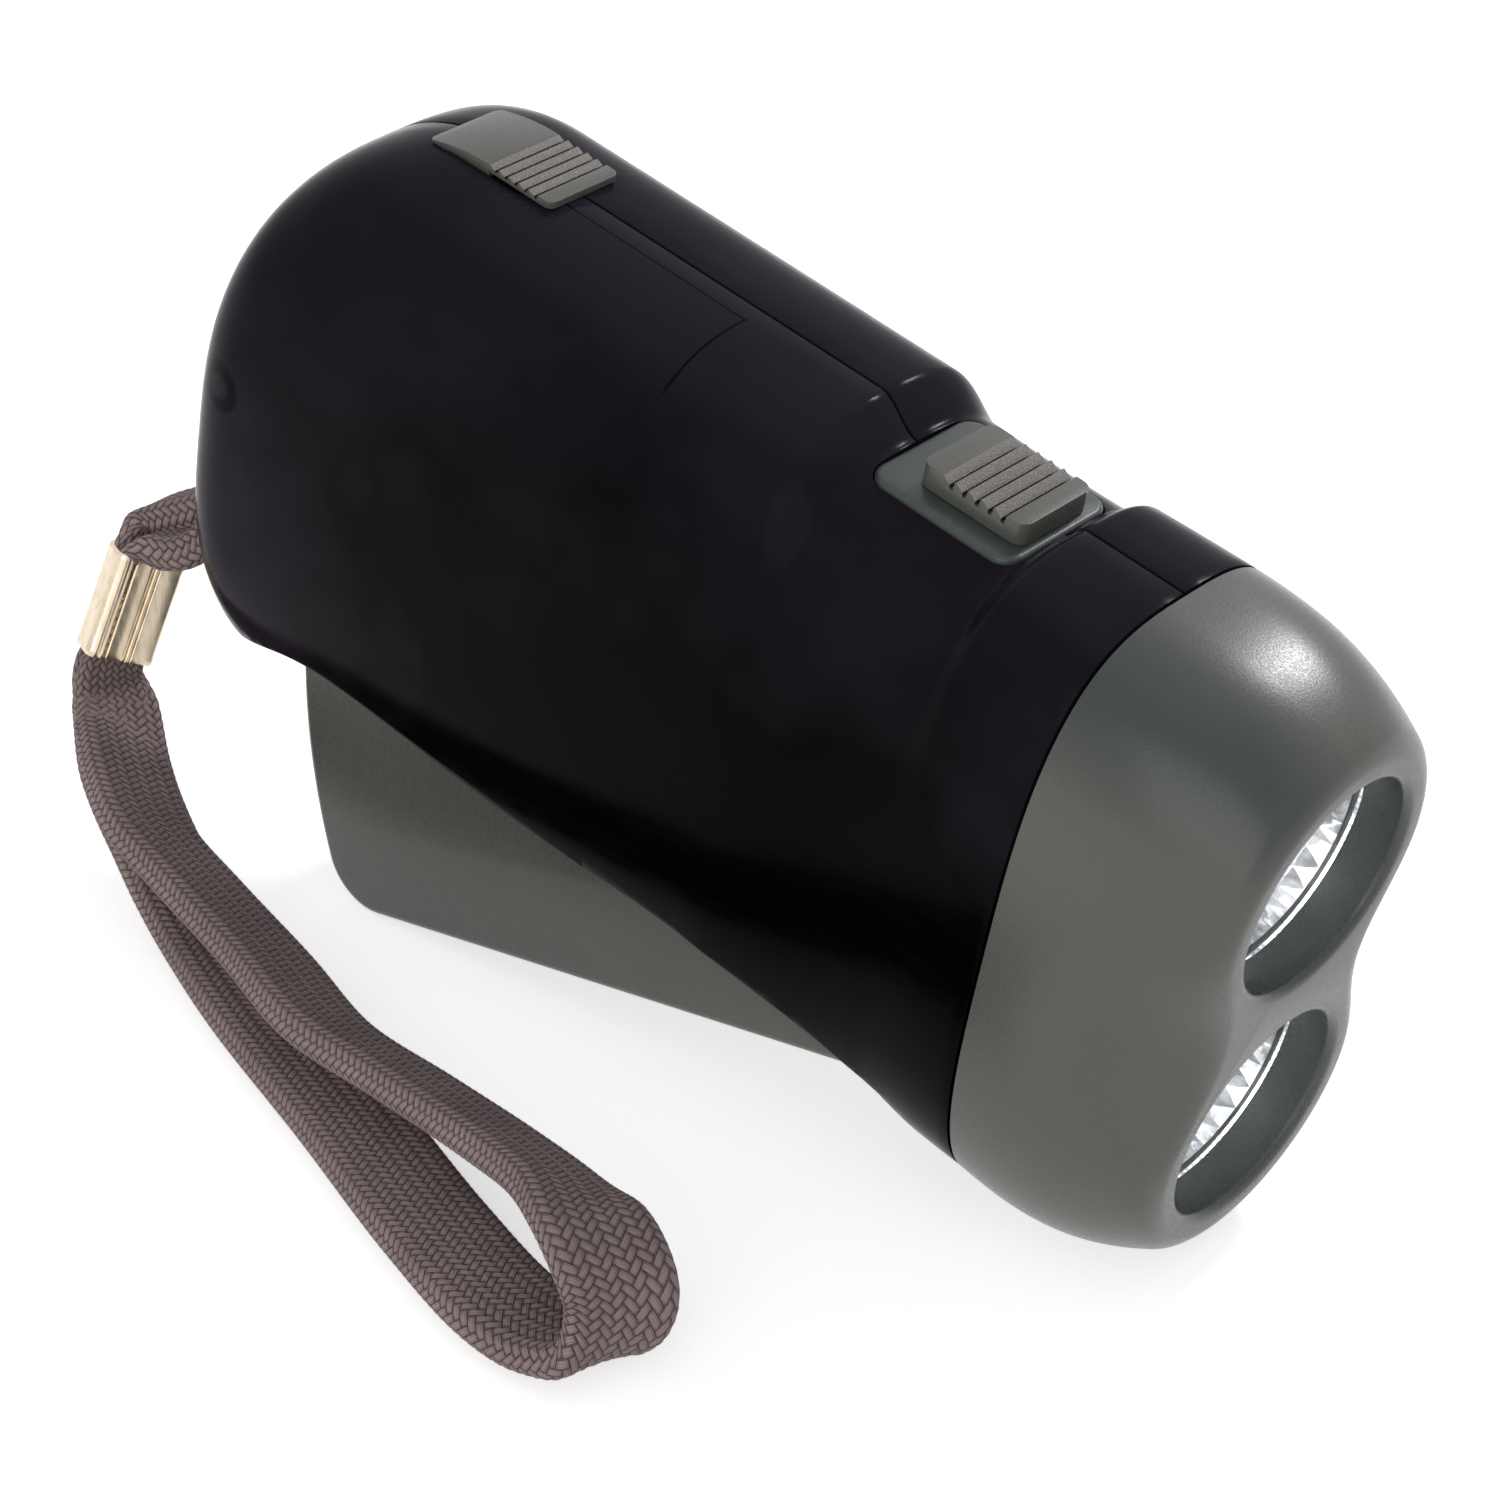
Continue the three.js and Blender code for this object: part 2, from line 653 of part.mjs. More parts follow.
function headPieces() {
  const pieces = [headBezel()];
  for (const [word, side] of [['upper', 1], ['lower', -1]]) {
    pieces.push(pieceAt(`lens_${word}`, lensGeometry(), 'clear', 0, side * lobeZ));
    pieces.push(pieceAt(`reflector_${word}`, reflectorGeometry(), 'chrome', 0, side * lobeZ));
    pieces.push(pieceAt(`led_${word}`, ledGeometry(), 'clear', 0, side * lobeZ));
  }
  const front = ledBoardRear + ledBoardThickness;
  const inset = caseWall + skirtWall + 2 * gap;
  let board = loft([tongueRing(ledBoardRear, inset), tongueRing(front, inset)]);
  for (const side of [-1, 1]) {
    board = board.subtract(rodX(side * headPostY, 0, screwRadius, 0, headLength, 10));
    const seat = ledBoardRear - gap;
    const shank = rodX(0, 0, screwRadius - gap, seat - screwHeadHeight / 2, front + ledLength, 8);
    const head = rodX(0, 0, screwHeadRadius, seat - screwHeadHeight, seat, 12);
    const screw = piece(side < 0 ? 'board_screw_right' : 'board_screw_left', shank.add(head), 'steel');
    screw.position.set(0, side * headPostY, 0);
    pieces.push(screw);
  }
  pieces.push(piece('led_board', board, 'board'));
  return pieces;
}

// Squeeze lever. Outlines here are measured from the pivot.
function leverOutline(inset) {
  const reach = leverReach - inset;
  const barrel = leverBarrel - inset;
  const corner = leverCorner - inset;
  const down = new THREE.Vector2(Math.sin(leverSlope), -Math.cos(leverSlope));
  const back = new THREE.Vector2(-Math.cos(leverSlope), -Math.sin(leverSlope));
  const inner = Math.sqrt((reach - corner) ** 2 - (barrel - corner) ** 2);
  const centre = down.clone().multiplyScalar(barrel - corner).addScaledVector(back, inner);
  const topAngle = Math.PI - leverTopAngle;
  const shape = new THREE.Shape();
  shape.absarc(0, 0, barrel, fullTurn / 4, leverSlope - fullTurn / 4, true);
  shape.absarc(centre.x, centre.y, corner, leverSlope - fullTurn / 4, centre.angle() - fullTurn, true);
  shape.absarc(0, 0, reach, centre.angle(), topAngle, true);
  return shape;
}

function squeezeLever() {
  const half = leverWidth / 2;
  const inside = half - leverWall;
  const shell = prismY(leverOutline(0), -half, half, 7);
  const hollow = prismY(leverOutline(leverWall), -inside, inside, 7);
  const open = prismY([
    new THREE.Vector2(0, leverBarrel + overrun),
    new THREE.Vector2(-leverReach, leverBarrel + overrun),
    new THREE.Vector2(-leverReach * Math.cos(leverTopAngle), leverReach * Math.sin(leverTopAngle) - leverWall),
    new THREE.Vector2(0, leverBarrel - 2 * leverWall),
  ], -inside, inside);
  let solid = shell.subtract(hollow).subtract(open);
  for (const side of [-1, 1]) {
    const y0 = Math.min(side * hubInner, side * (inside + leverWall / 2));
    const y1 = Math.max(side * hubInner, side * (inside + leverWall / 2));
    solid = solid.add(rodY(0, 0, hubRadius, y0, y1, 14));
  }
  solid = solid.subtract(rodY(0, 0, pinRadius + gap, -half - overrun, half + overrun, 14));
  return pieceAt('squeeze_lever', solid, 'grey', pivotX, pivotZ);
}

function pivotPin() {
  return pieceAt('pivot_pin', rodY(0, 0, pinRadius, -pinLength / 2, pinLength / 2, 14), 'steel', pivotX, pivotZ);
}

// Teeth with straight flanks, four outline points each
function toothPoints(centre, radius, module, outward) {
  const tip = radius + outward * addendumShare * module;
  const root = radius - outward * dedendumShare * module;
  const tipHalf = toothTipShare * Math.PI * module / 2 / tip;
  const rootHalf = toothRootShare * Math.PI * module / 2 / root;
  return [[root, -rootHalf], [tip, -tipHalf], [tip, tipHalf], [root, rootHalf]]
    .map(([r, a]) => new THREE.Vector2(r * Math.cos(centre + a), r * Math.sin(centre + a)));
}

function gearOutline(teeth, module, phase) {
  const points = [];
  for (let i = 0; i < teeth; i += 1) {
    points.push(...toothPoints(phase + i * fullTurn / teeth, teeth * module / 2, module, 1));
  }
  return points;
}

const axleBore = axleRadius + gap;

// The sector's teeth point in, towards the lever pivot
const sectorPitch = fullTurn / sectorTeeth;
const sectorTop = Math.PI - pinionAngle - noseStartShare * sectorPitch;
const noseSpan = noseSpanShare * sectorPitch;

function sectorOutline() {
  const teeth = [];
  for (let i = 0; i < sectorToothCount; i += 1) {
    const centre = Math.PI - pinionAngle + (i - 0.5) * sectorPitch;
    teeth.push(...toothPoints(centre, sectorRadius, sectorModule, -1));
  }
  const lastTooth = Math.PI - pinionAngle + sectorToothCount * sectorPitch;
  const floor = leverBarrel - leverWall - gap;
  const footAngle = Math.PI + leverSlope + Math.asin(floor / sectorArm);
  const heelAngle = Math.PI + leverSlope + Math.asin(floor / sectorOuter);
  const at = (radius, angle) => new THREE.Vector2(radius * Math.cos(angle), radius * Math.sin(angle));
  const arc = (radius, from, to, steps) => Array.from({ length: steps + 1 },
    (_, i) => at(radius, from + (to - from) * i / steps));
  return [
    at(noseRadius, sectorTop),
    ...teeth,
    ...arc(sectorArm, lastTooth, footAngle, 4),
    ...arc(sectorOuter, heelAngle, sectorTop + noseSpan, 8),
    at(noseRadius, sectorTop + noseSpan),
  ];
}

function toothedSector() {
  const solid = prismY(sectorOutline(), sectorBack, sectorBack + sectorFace);
  return pieceAt('toothed_sector', solid, 'nylon', pivotX, pivotZ);
}

// Pinion with the ratchet that drives the train one way only
const ratchetRadius = 4.4;
const ratchetDepth = 0.8;
const ratchetTeeth = 8;
const cupRadius = 6;
const webHoles = 5;
const webHoleRadius = 1.2;

function pinionPieces() {
  const back = sectorBack + gap / 2;
  const face = sectorFace - gap;
  const pinion = prismY(gearOutline(pinionTeeth, sectorModule, Math.PI - pinionAngle), back, back + face)
    .subtract(rodY(0, 0, axleBore, back - overrun, back + face + overrun, 16));
  const saw = [];
  for (let i = 0; i < ratchetTeeth; i += 1) {
    const angle = i * fullTurn / ratchetTeeth;
    const low = ratchetRadius - ratchetDepth;
    saw.push(new THREE.Vector2(ratchetRadius * Math.cos(angle), ratchetRadius * Math.sin(angle)));
    saw.push(new THREE.Vector2(low * Math.cos(angle), low * Math.sin(angle)).rotateAround(
      new THREE.Vector2(), fullTurn / ratchetTeeth / ratchetTeeth));
  }
  const ratchetBack = back + face + gap;
  const ratchet = prismY(saw, ratchetBack, ratchetBack + ratchetFace)
    .subtract(rodY(0, 0, axleBore, ratchetBack - overrun, ratchetBack + ratchetFace + overrun, 16));
  return [
    pieceAt('sector_pinion', pinion, 'nylon', driveX, driveZ),
    pieceAt('ratchet_wheel', ratchet, 'steel', driveX, driveZ),
  ];
}

function driveGear() {
  const front = driveBack + driveFace;
  const cupBack = sectorBack + sectorFace + runningGap;
  let solid = prismY(gearOutline(driveTeeth, driveModule, idlerAngle), driveBack, front);
  const cup = rodY(0, 0, cupRadius, cupBack, driveBack + driveFace / 2, 20)
    .subtract(rodY(0, 0, ratchetRadius + runningGap, cupBack - overrun, driveBack - gap, 20));
  solid = solid.add(cup).subtract(rodY(0, 0, axleBore, cupBack - overrun, front + overrun, 16));
  const holeRadius = (cupRadius + driveRadius) / 2;
  for (let i = 0; i < webHoles; i += 1) {
    const angle = i * fullTurn / webHoles;
    solid = solid.subtract(rodY(holeRadius * Math.cos(angle), holeRadius * Math.sin(angle), webHoleRadius,
      driveBack - overrun, front + overrun, 8));
  }
  return pieceAt('drive_gear', solid, 'nylon', driveX, driveZ);
}

function idlerGear() {
  const pinionHalf = fullTurn / pinionTeeth / 2;
  const wheelBack = driveBack + driveFace + runningGap;
  const wheelFront = rotorBack - runningGap;
  const pinion = prismY(gearOutline(pinionTeeth, driveModule, idlerAngle + Math.PI + pinionHalf),
    driveBack - gap, wheelBack + gap);
  const wheel = prismY(gearOutline(idlerTeeth, rotorModule, rotorAngle), wheelBack, wheelFront);
  const solid = pinion.add(wheel).subtract(rodY(0, 0, axleBore, driveBack - overrun, wheelFront + overrun, 16));
  return pieceAt('idler_gear', solid, 'nylon', idlerX, idlerZ);
}

function rotorPieces() {
  const pinionHalf = fullTurn / pinionTeeth / 2;
  const front = rotorBack + rotorFace;
  const hubEdge = rotorRadius - magnetWall - gap;
  const pinionBack = driveBack + driveFace + gap;
  const hub = prismY(gearOutline(pinionTeeth, rotorModule, rotorAngle + Math.PI + pinionHalf),
    pinionBack, rotorBack + rotorFace / 2).add(rodY(0, 0, hubEdge, rotorBack, front, 24));
  const bore = rodY(0, 0, axleBore, pinionBack - overrun, front + overrun, 16);
  const magnet = rodY(0, 0, rotorRadius, rotorBack, front, 32)
    .subtract(rodY(0, 0, rotorRadius - magnetWall, rotorBack - overrun, front + overrun, 24));
  return [
    pieceAt('rotor_hub', hub.subtract(bore), 'nylon', rotorX, rotorZ),
    pieceAt('ring_magnet', magnet, 'magnet', rotorX, rotorZ),
  ];
}

// Gearbox plates, spacers and axles
const drivePlace = [driveX, driveZ];
const plateCornerPlaces = [
  drivePlace, drivePlace, spacerPlaces[1], spacerPlaces[2], spacerPlaces[2], gearPostPlaces[1], spacerPlaces[0], drivePlace,
];
const plateCornerShares = [[-2, -1.5], [1, -2.3], [0, -1], [0, -1], [1, 0.3], [1, 0.7], [-1, 0.9], [-2, 1.7]];

function gearboxPieces() {
  const outer = plateInner + plateThickness;
  const places = [[driveX, driveZ], [idlerX, idlerZ], [rotorX, rotorZ]];
  const outline = plateCornerPlaces.map(([x, z], i) => new THREE.Vector2(
    x + plateCornerShares[i][0] * plateRim, z + plateCornerShares[i][1] * plateRim));
  const pieces = [];
  for (const [word, side] of [['right', -1], ['left', 1]]) {
    const y0 = Math.min(side * plateInner, side * outer);
    let plate = prismY(outline, y0, y0 + plateThickness);
    for (const [x, z] of places) {
      plate = plate.subtract(rodY(x, z, axleBore, y0 - overrun, y0 + plateThickness + overrun, 16));
    }
    pieces.push(piece(`gear_plate_${word}`, plate, 'steel'));
  }
  spacerPlaces.forEach(([x, z], i) => pieces.push(pieceAt(`plate_spacer_${i + 1}`,
    rodY(0, 0, spacerRadius, -plateInner + gap, plateInner - gap, 12), 'steel', x, z)));
  places.forEach(([x, z], i) => pieces.push(pieceAt(['drive_axle', 'idler_axle', 'rotor_axle'][i],
    rodY(0, 0, axleRadius, -outer, outer, 12), 'steel', x, z)));
  return pieces;
}

// Dynamo: iron core with two pole arcs, yoke, bobbin and winding
const poleStart = 28 * degree;
const poleEnd = 150 * degree;
const limbHeight = 2;
const coreThickness = plateInner - gap - coreBack;
const bobbinWall = 0.8;
const coilY = coreBack + coreThickness / 2;

function poleArc(side) {
  const inner = rotorRadius + poleGap;
  const outer = inner + poleDepth;
  const shape = new THREE.Shape();
  const from = side > 0 ? poleStart : -poleEnd;
  const to = side > 0 ? poleEnd : -poleStart;
  shape.absarc(0, 0, outer, from, to, false);
  shape.absarc(0, 0, inner, to, from, true);
  return prismY(shape, coreBack, coreBack + coreThickness, 6).translate([rotorX, 0, rotorZ]);
}

function dynamoPieces() {
  const front = yokeX + yokeWidth / 2;
  const reach = rotorRadius + poleGap + poleDepth;
  const limbs = [-1, 1].map((side) => {
    const edge = rotorZ + side * reach;
    const inner = edge - side * limbHeight;
    return block(rotorX, front, coreBack, coreBack + coreThickness, Math.min(edge, inner), Math.max(edge, inner));
  });
  const gapRound = rodY(rotorX, rotorZ, rotorRadius + poleGap, coreBack - overrun, plateInner, 24);
  const lowLimb = rotorZ - reach + limbHeight;
  const highLimb = rotorZ + reach - limbHeight;
  const poles = [-1, 1].map((side, i) => poleArc(side).add(limbs[i]).subtract(gapRound));
  const yoke = block(yokeX - yokeWidth / 2, front, coreBack, coreBack + coreThickness, lowLimb + gap, highLimb - gap);
  const tube = Math.hypot(yokeWidth, coreThickness) / 2 + gap + bobbinWall;
  const bore = block(yokeX - yokeWidth / 2 - gap, front + gap, coreBack - gap, coreBack + coreThickness + gap,
    coilBottom - overrun, coilTop + overrun);
  const upright = (profile, sides) => {
    const geometry = new THREE.LatheGeometry(profile.map(([r, z]) => new THREE.Vector2(r, z)), sides);
    geometry.rotateX(fullTurn / 4);
    geometry.translate(yokeX, coilY, 0);
    return geometry;
  };
  const low = coilBottom + bobbinWall;
  const high = coilTop - bobbinWall;
  const bobbin = solidOf(upright([[0, coilBottom], [coilRadius, coilBottom], [coilRadius, low], [tube, low],
    [tube, high], [coilRadius, high], [coilRadius, coilTop], [0, coilTop]], 16)).subtract(bore);
  const winding = upright([[tube + gap, low + gap], [coilRadius - gap, low + gap],
    [coilRadius - gap, high - gap], [tube + gap, high - gap], [tube + gap, low + gap]], 16);
  return [
    piece('stator_pole_lower', poles[0], 'steel'),
    piece('stator_pole_upper', poles[1], 'steel'),
    piece('stator_yoke', yoke, 'steel'),
    piece('coil_bobbin', bobbin, 'nylon'),
    piece('coil_winding', winding, 'copper'),
  ];
}

// Cells in their tray
function cellPieces() {
  const pitch = cellHeight + gap;
  const stack = cellCount * pitch - gap;
  const pieces = [];
  for (let i = 0; i < cellCount; i += 1) {
    const start = -stack / 2 + i * pitch;
    pieces.push(pieceAt(`cell_${i + 1}`, rodY(0, 0, cellRadius, start, start + cellHeight, 24), 'steel', cellX, cellZ));
  }
  const stripThickness = trayWall / 2;
  const stripReach = cellContactShare * cellRadius;
  for (const [word, side] of [['right', -1], ['left', 1]]) {
    const inner = side * (stack / 2 + gap);
    const outer = side * (stack / 2 + gap + stripThickness);
    pieces.push(pieceAt(`cell_contact_${word}`, block(-stripReach, stripReach, Math.min(inner, outer),
      Math.max(inner, outer), -stripReach, stripReach), 'steel', cellX, cellZ));
  }
  const inner = cellRadius + gap;
  const outer = inner + trayWall;
  const end = stack / 2 + 2 * gap + stripThickness;
  const lower = block(-2 * outer, 2 * outer, -2 * end, 2 * end, -2 * outer, -trayRimShare * cellRadius);
  const tray = rodY(0, 0, outer, -end - trayWall, end + trayWall, 24)
    .subtract(rodY(0, 0, inner, -end, end, 24)).intersect(lower);
  pieces.push(pieceAt('cell_tray', tray, 'nylon', cellX, cellZ));
  return pieces;
}

// Circuit board and its diodes
const diodeRadius = 0.9;
const diodeLength = 4.2;
const diodeCount = 4;
const diodePitch = 3;
const diodeMiddleY = -1.5;

function boardPieces() {
  const bottom = boardTop - boardThickness;
  const rear = boardFrontX - boardLength;
  const pieces = [piece('circuit_board', block(rear, boardFrontX, -boardWidth / 2, boardWidth / 2, bottom, boardTop), 'board')];
  for (let i = 0; i < diodeCount; i += 1) {
    const y = (i + 0.5 - diodeCount / 2) * diodePitch + diodeMiddleY;
    const diode = piece(`diode_${i + 1}`, rodX(0, 0, diodeRadius, -diodeLength / 2, diodeLength / 2, 10), 'magnet');
    diode.position.set(rear + diodeLength, y, bottom - gap - diodeRadius);
    pieces.push(diode);
  }
  return pieces;
}

// Switch plate, knob and contact
const stemLength = 4;
const stemHalf = 1.4;
const stemX = -18.4;
const knobRidges = 5;
const grooveDepth = 0.7;
const grooveShares = [0.25, 0.4, 0.75];
const sliderEdge = 0.5;
const flangeLip = 1;
const flangeTop = 22;
const footHalf = 3;
const leafThickness = 0.3;

// A slider's side view with saw-like grooves across its top, between two shares of its length
function groovedOutline(rear, front, low, top, count, [from, to]) {
  const start = THREE.MathUtils.lerp(rear, front, from);
  const pitch = (front - rear) * (to - from) / count;
  const [fall, floor, rise] = grooveShares;
  const points = [
    new THREE.Vector2(rear, low), new THREE.Vector2(front, low),
    new THREE.Vector2(front, top - sliderEdge), new THREE.Vector2(front - sliderEdge, top),
  ];
  for (let i = count - 1; i >= 0; i -= 1) {
    const x = start + i * pitch;
    points.push(new THREE.Vector2(x + pitch * rise, top));
    points.push(new THREE.Vector2(x + pitch * floor, top - grooveDepth));
    points.push(new THREE.Vector2(x + pitch * fall, top - grooveDepth));
    points.push(new THREE.Vector2(x, top));
  }
  points.push(new THREE.Vector2(rear + sliderEdge, top), new THREE.Vector2(rear, top - sliderEdge));
  return points;
}

function switchPieces() {
  const rear = plateFrontX - plateLength;
  const half = plateWidth / 2;
  const flange = block(rear - flangeLip, plateFrontX + flangeLip, -half - flangeLip, half + flangeLip,
    flangeTop - flangeLip, flangeTop);
  const slot = block(stemX - knobTravel - gap, stemX + stemLength + gap, -stemHalf - gap, stemHalf + gap,
    flangeTop - 2 * flangeLip, saddleHeight + overrun);
  const plate = block(rear, plateFrontX, -half, half, flangeTop - flangeLip, saddleHeight).add(flange).subtract(slot);
  const knobRear = knobFrontX - knobLength;
  const knobLow = saddleHeight + gap;
  const footTop = flangeTop - flangeLip - gap;
  const footLow = footTop - 2 * gap;
  const outline = groovedOutline(knobRear, knobFrontX, knobLow, knobTop, knobRidges, knobRidgeShares);
  const knob = prismY(outline, -knobWidth / 2, knobWidth / 2)
    .add(block(stemX, stemX + stemLength, -stemHalf, stemHalf, footLow, knobLow + gap))
    .add(block(stemX, stemX + stemLength, -footHalf, footHalf, footLow, footTop));
  const leafTop = footLow - gap;
  const leaf = block(stemX, stemX + stemLength, -footHalf, footHalf, leafTop - leafThickness, leafTop);
  return [piece('switch_plate', plate, 'slate'), piece('switch_knob', knob, 'grey'), piece('switch_contact', leaf, 'steel')];
}

// Lever lock on the rear of the deck
const lockLegHalf = 1.3;
const lockRidges = 5;
const lockFootHeight = 0.8;
const lockFootHalf = 2.4;

function lockSlider() {
  const front = lockRearX + lockLength;
  const low = deckHeight + gap;
  const outline = groovedOutline(lockRearX, front, low, deckHeight + lockRise, lockRidges, lockRidgeShares);
  const legEnd = lockLegX + lockLegThickness;
  const ceiling = deckHeight - caseWall - 2 * gap;
  const hookLow = lockHookTop - lockHookHeight;
  const solid = prismY(outline, -lockWidth / 2, lockWidth / 2)
    .add(block(lockLegX, legEnd, -lockLegHalf, lockLegHalf, hookLow, low + gap))
    .add(block(lockLegX, legEnd, -lockFootHalf, lockFootHalf, ceiling - lockFootHeight, ceiling))
    .add(block(lockLegX, legEnd, sectorBack, lockLegHalf, hookLow, lockHookTop));
  return piece('lock_slider', solid, 'slate');
}

// Return spring round the pivot pin, with one leg on the lever floor and one on the case rib
const springRadius = 3.1;
const springWire = 0.45;
const springTurns = 3;
const springHalf = 3.4;
const springFloorLeg = 13;
const springRibLeg = 10;
const springRest = 109 * degree;
const springSteps = 38;
const springRise = leverBarrel - leverWall - gap - springWire - springRadius;
const springTilt = Math.asin(springRise / springFloorLeg);

class SpringPath extends THREE.Curve {
  getPoint(share) {
    const start = Math.PI + leverSlope + fullTurn / 4 + springTilt;
    const end = start + springTurns * fullTurn + springRest;
    const bend = springFloorLeg + springRibLeg + (end - start) * springRadius;
    const along = share * bend;
    const turned = THREE.MathUtils.clamp((along - springFloorLeg) / springRadius, 0, end - start);
    const angle = start + turned;
    const lead = Math.min(along - springFloorLeg, 0) + Math.max(along - springFloorLeg - (end - start) * springRadius, 0);
    const x = springRadius * Math.cos(angle) - lead * Math.sin(angle);
    const z = springRadius * Math.sin(angle) + lead * Math.cos(angle);
    return new THREE.Vector3(x, springHalf - 2 * springHalf * turned / (end - start), z);
  }
}

function leverSpring() {
  const section = new THREE.Shape();
  section.absarc(0, 0, springWire, 0, fullTurn, false);
  const geometry = new THREE.ExtrudeGeometry(section, {
    steps: springSteps, curveSegments: 3, bevelEnabled: false, extrudePath: new SpringPath(),
  });
  return pieceAt('lever_spring', solidOf(geometry), 'steel', pivotX, pivotZ);
}

// The strap's places as shares of its reach, in the frame the flashlight stands in
const crimpTopShares = [-0.717, -0.1, 0.28];
const crimpBottomShares = [-0.732, -0.144, 0.181];
const crimpSideShares = [0.355, 0.833, -0.425];
const loopShares = [
  [-0.72, -0.176, 0.122], [-0.657, -0.211, 0.098], [-0.591, -0.237, 0.086], [-0.496, -0.261, 0.074],
  [-0.362, -0.296, 0.066], [-0.236, -0.338, 0.067], [-0.107, -0.355, 0.075], [0.022, -0.377, 0.088],
  [0.121, -0.403, 0.102], [0.195, -0.434, 0.107], [0.231, -0.449, 0.07], [0.22, -0.464, 0.034],
  [0.18, -0.471, 0.021], [0.122, -0.47, 0.02], [0.001, -0.436, 0.02], [-0.179, -0.372, 0.02],
  [-0.368, -0.308, 0.021], [-0.488, -0.262, 0.029], [-0.588, -0.228, 0.053], [-0.68, -0.197, 0.094],
  [-0.736, -0.162, 0.137],
];
const leaningSideShares = [0.34, 0.8, -0.49];
const lyingSideShares = [0.383, 0.921, 0];
const leaningCount = 9;
const lyingCount = 8;
const outerNeckShares = [[-0.727, -0.07, 0.318], [-0.697, -0.046, 0.354], [-0.652, -0.016, 0.386]];
const innerNeckShares = [[-0.65, -0.026, 0.338], [-0.682, -0.066, 0.325]];
const postTurnSteps = 6;
const crimpNarrowShare = 0.72;
const crimpThinShare = 0.8;
const loopSteps = 80;
const loopPinchCount = 3;
const neckPinchCount = 2;
const neckSteps = 34;

const sharedPlace = (shares) => new THREE.Vector3(...shares).multiplyScalar(strapReach);
const crimpTop = sharedPlace(crimpTopShares);
const crimpBottom = sharedPlace(crimpBottomShares);
const crimpAxis = crimpTop.clone().sub(crimpBottom).normalize();
const crimpSide = new THREE.Vector3(...crimpSideShares);
crimpSide.addScaledVector(crimpAxis, -crimpSide.dot(crimpAxis)).normalize();
const crimpBack = crimpAxis.clone().cross(crimpSide);

// A flat path: each point has its own width direction, and the ends are pinched by the crimp
class StrapPath extends THREE.CatmullRomCurve3 {
  constructor(points, sides, pinched) {
    super(points);
    this.sides = sides;
    this.pinched = pinched;
  }

  computeFrenetFrames(steps) {
    const frames = { tangents: [], normals: [], binormals: [] };
    const last = this.sides.length - 1;
    for (let i = 0; i <= steps; i += 1) {
      const tangent = this.getTangentAt(i / steps);
      const place = this.getUtoTmapping(i / steps) * last;
      const from = Math.min(Math.floor(place), last - 1);
      const side = this.sides[from].clone().lerp(this.sides[from + 1], place - from);
      const free = Math.min(place / this.pinched, (last - place) / this.pinched, 1);
      side.addScaledVector(tangent, -side.dot(tangent)).normalize();
      frames.tangents.push(tangent);
      frames.binormals.push(tangent.clone().cross(side)
        .multiplyScalar(THREE.MathUtils.lerp(crimpThinShare, 1, free)));
      frames.normals.push(side.multiplyScalar(THREE.MathUtils.lerp(crimpNarrowShare, 1, free)));
    }
    return frames;
  }
}

function strapPiece(name, path, steps) {
  const x = strapWidth / 2;
  const y = strapThickness / 2;
  const section = new THREE.Shape([
    new THREE.Vector2(x - strapBevel, -y), new THREE.Vector2(x, strapBevel - y),
    new THREE.Vector2(x, y - strapBevel), new THREE.Vector2(x - strapBevel, y),
    new THREE.Vector2(strapBevel - x, y), new THREE.Vector2(-x, y - strapBevel),
    new THREE.Vector2(-x, strapBevel - y), new THREE.Vector2(strapBevel - x, -y),
  ]);
  const geometry = new THREE.ExtrudeGeometry(section, { steps, bevelEnabled: false, extrudePath: path });
  return piece(name, solidOf(geometry), 'webbing');
}

// A strand's end beside the crimp: in front of its middle or behind it, just clear of the metal
function strandEnd(place, back, out) {
  const end = place.clone().addScaledVector(crimpBack, back * strandSpacing / 2);
  const face = end.clone().addScaledVector(crimpAxis, out * gap);
  const lead = end.clone().addScaledVector(crimpAxis, out * strandLead);
  return [face, lead];
}

function strapLoop() {
  const points = [
    ...strandEnd(crimpBottom, -1, -1), ...loopShares.map(sharedPlace), ...strandEnd(crimpBottom, 1, -1).reverse(),
  ];
  const leaning = new THREE.Vector3(...leaningSideShares);
  const lying = new THREE.Vector3(...lyingSideShares);
  const sides = points.map((_, i) => {
    if (i < 2 || i > leaningCount + lyingCount + 2) {
      return crimpSide;
    }
    return i < leaningCount + 2 ? leaning : lying;
  });
  return strapPiece('strap_loop', new StrapPath(points, sides, loopPinchCount), loopSteps);
}

// The neck runs from the crimp into the notch, round the post and back
function strapNeck() {
  const turn = postRadius + gap + strapThickness / 2;
  const points = [...strandEnd(crimpTop, 1, 1), ...outerNeckShares.map(sharedPlace)];
  points.push(flashlight.localToWorld(new THREE.Vector3(-caseLength, 0, postZ + turn)));
  for (let i = 0; i <= postTurnSteps; i += 1) {
    const angle = (fullTurn / 4) * (1 - 2 * i / postTurnSteps);
    points.push(flashlight.localToWorld(
      new THREE.Vector3(postX + turn * Math.cos(angle), 0, postZ + turn * Math.sin(angle))));
  }
  points.push(flashlight.localToWorld(new THREE.Vector3(-caseLength, 0, postZ - turn)));
  points.push(...innerNeckShares.map(sharedPlace), ...strandEnd(crimpTop, -1, 1).reverse());
  const across = new THREE.Vector3(0, 1, 0);
  const sides = points.map((_, i) => (i < 2 || i > points.length - 3 ? crimpSide : across));
  return strapPiece('strap_neck', new StrapPath(points, sides, neckPinchCount), neckSteps);
}

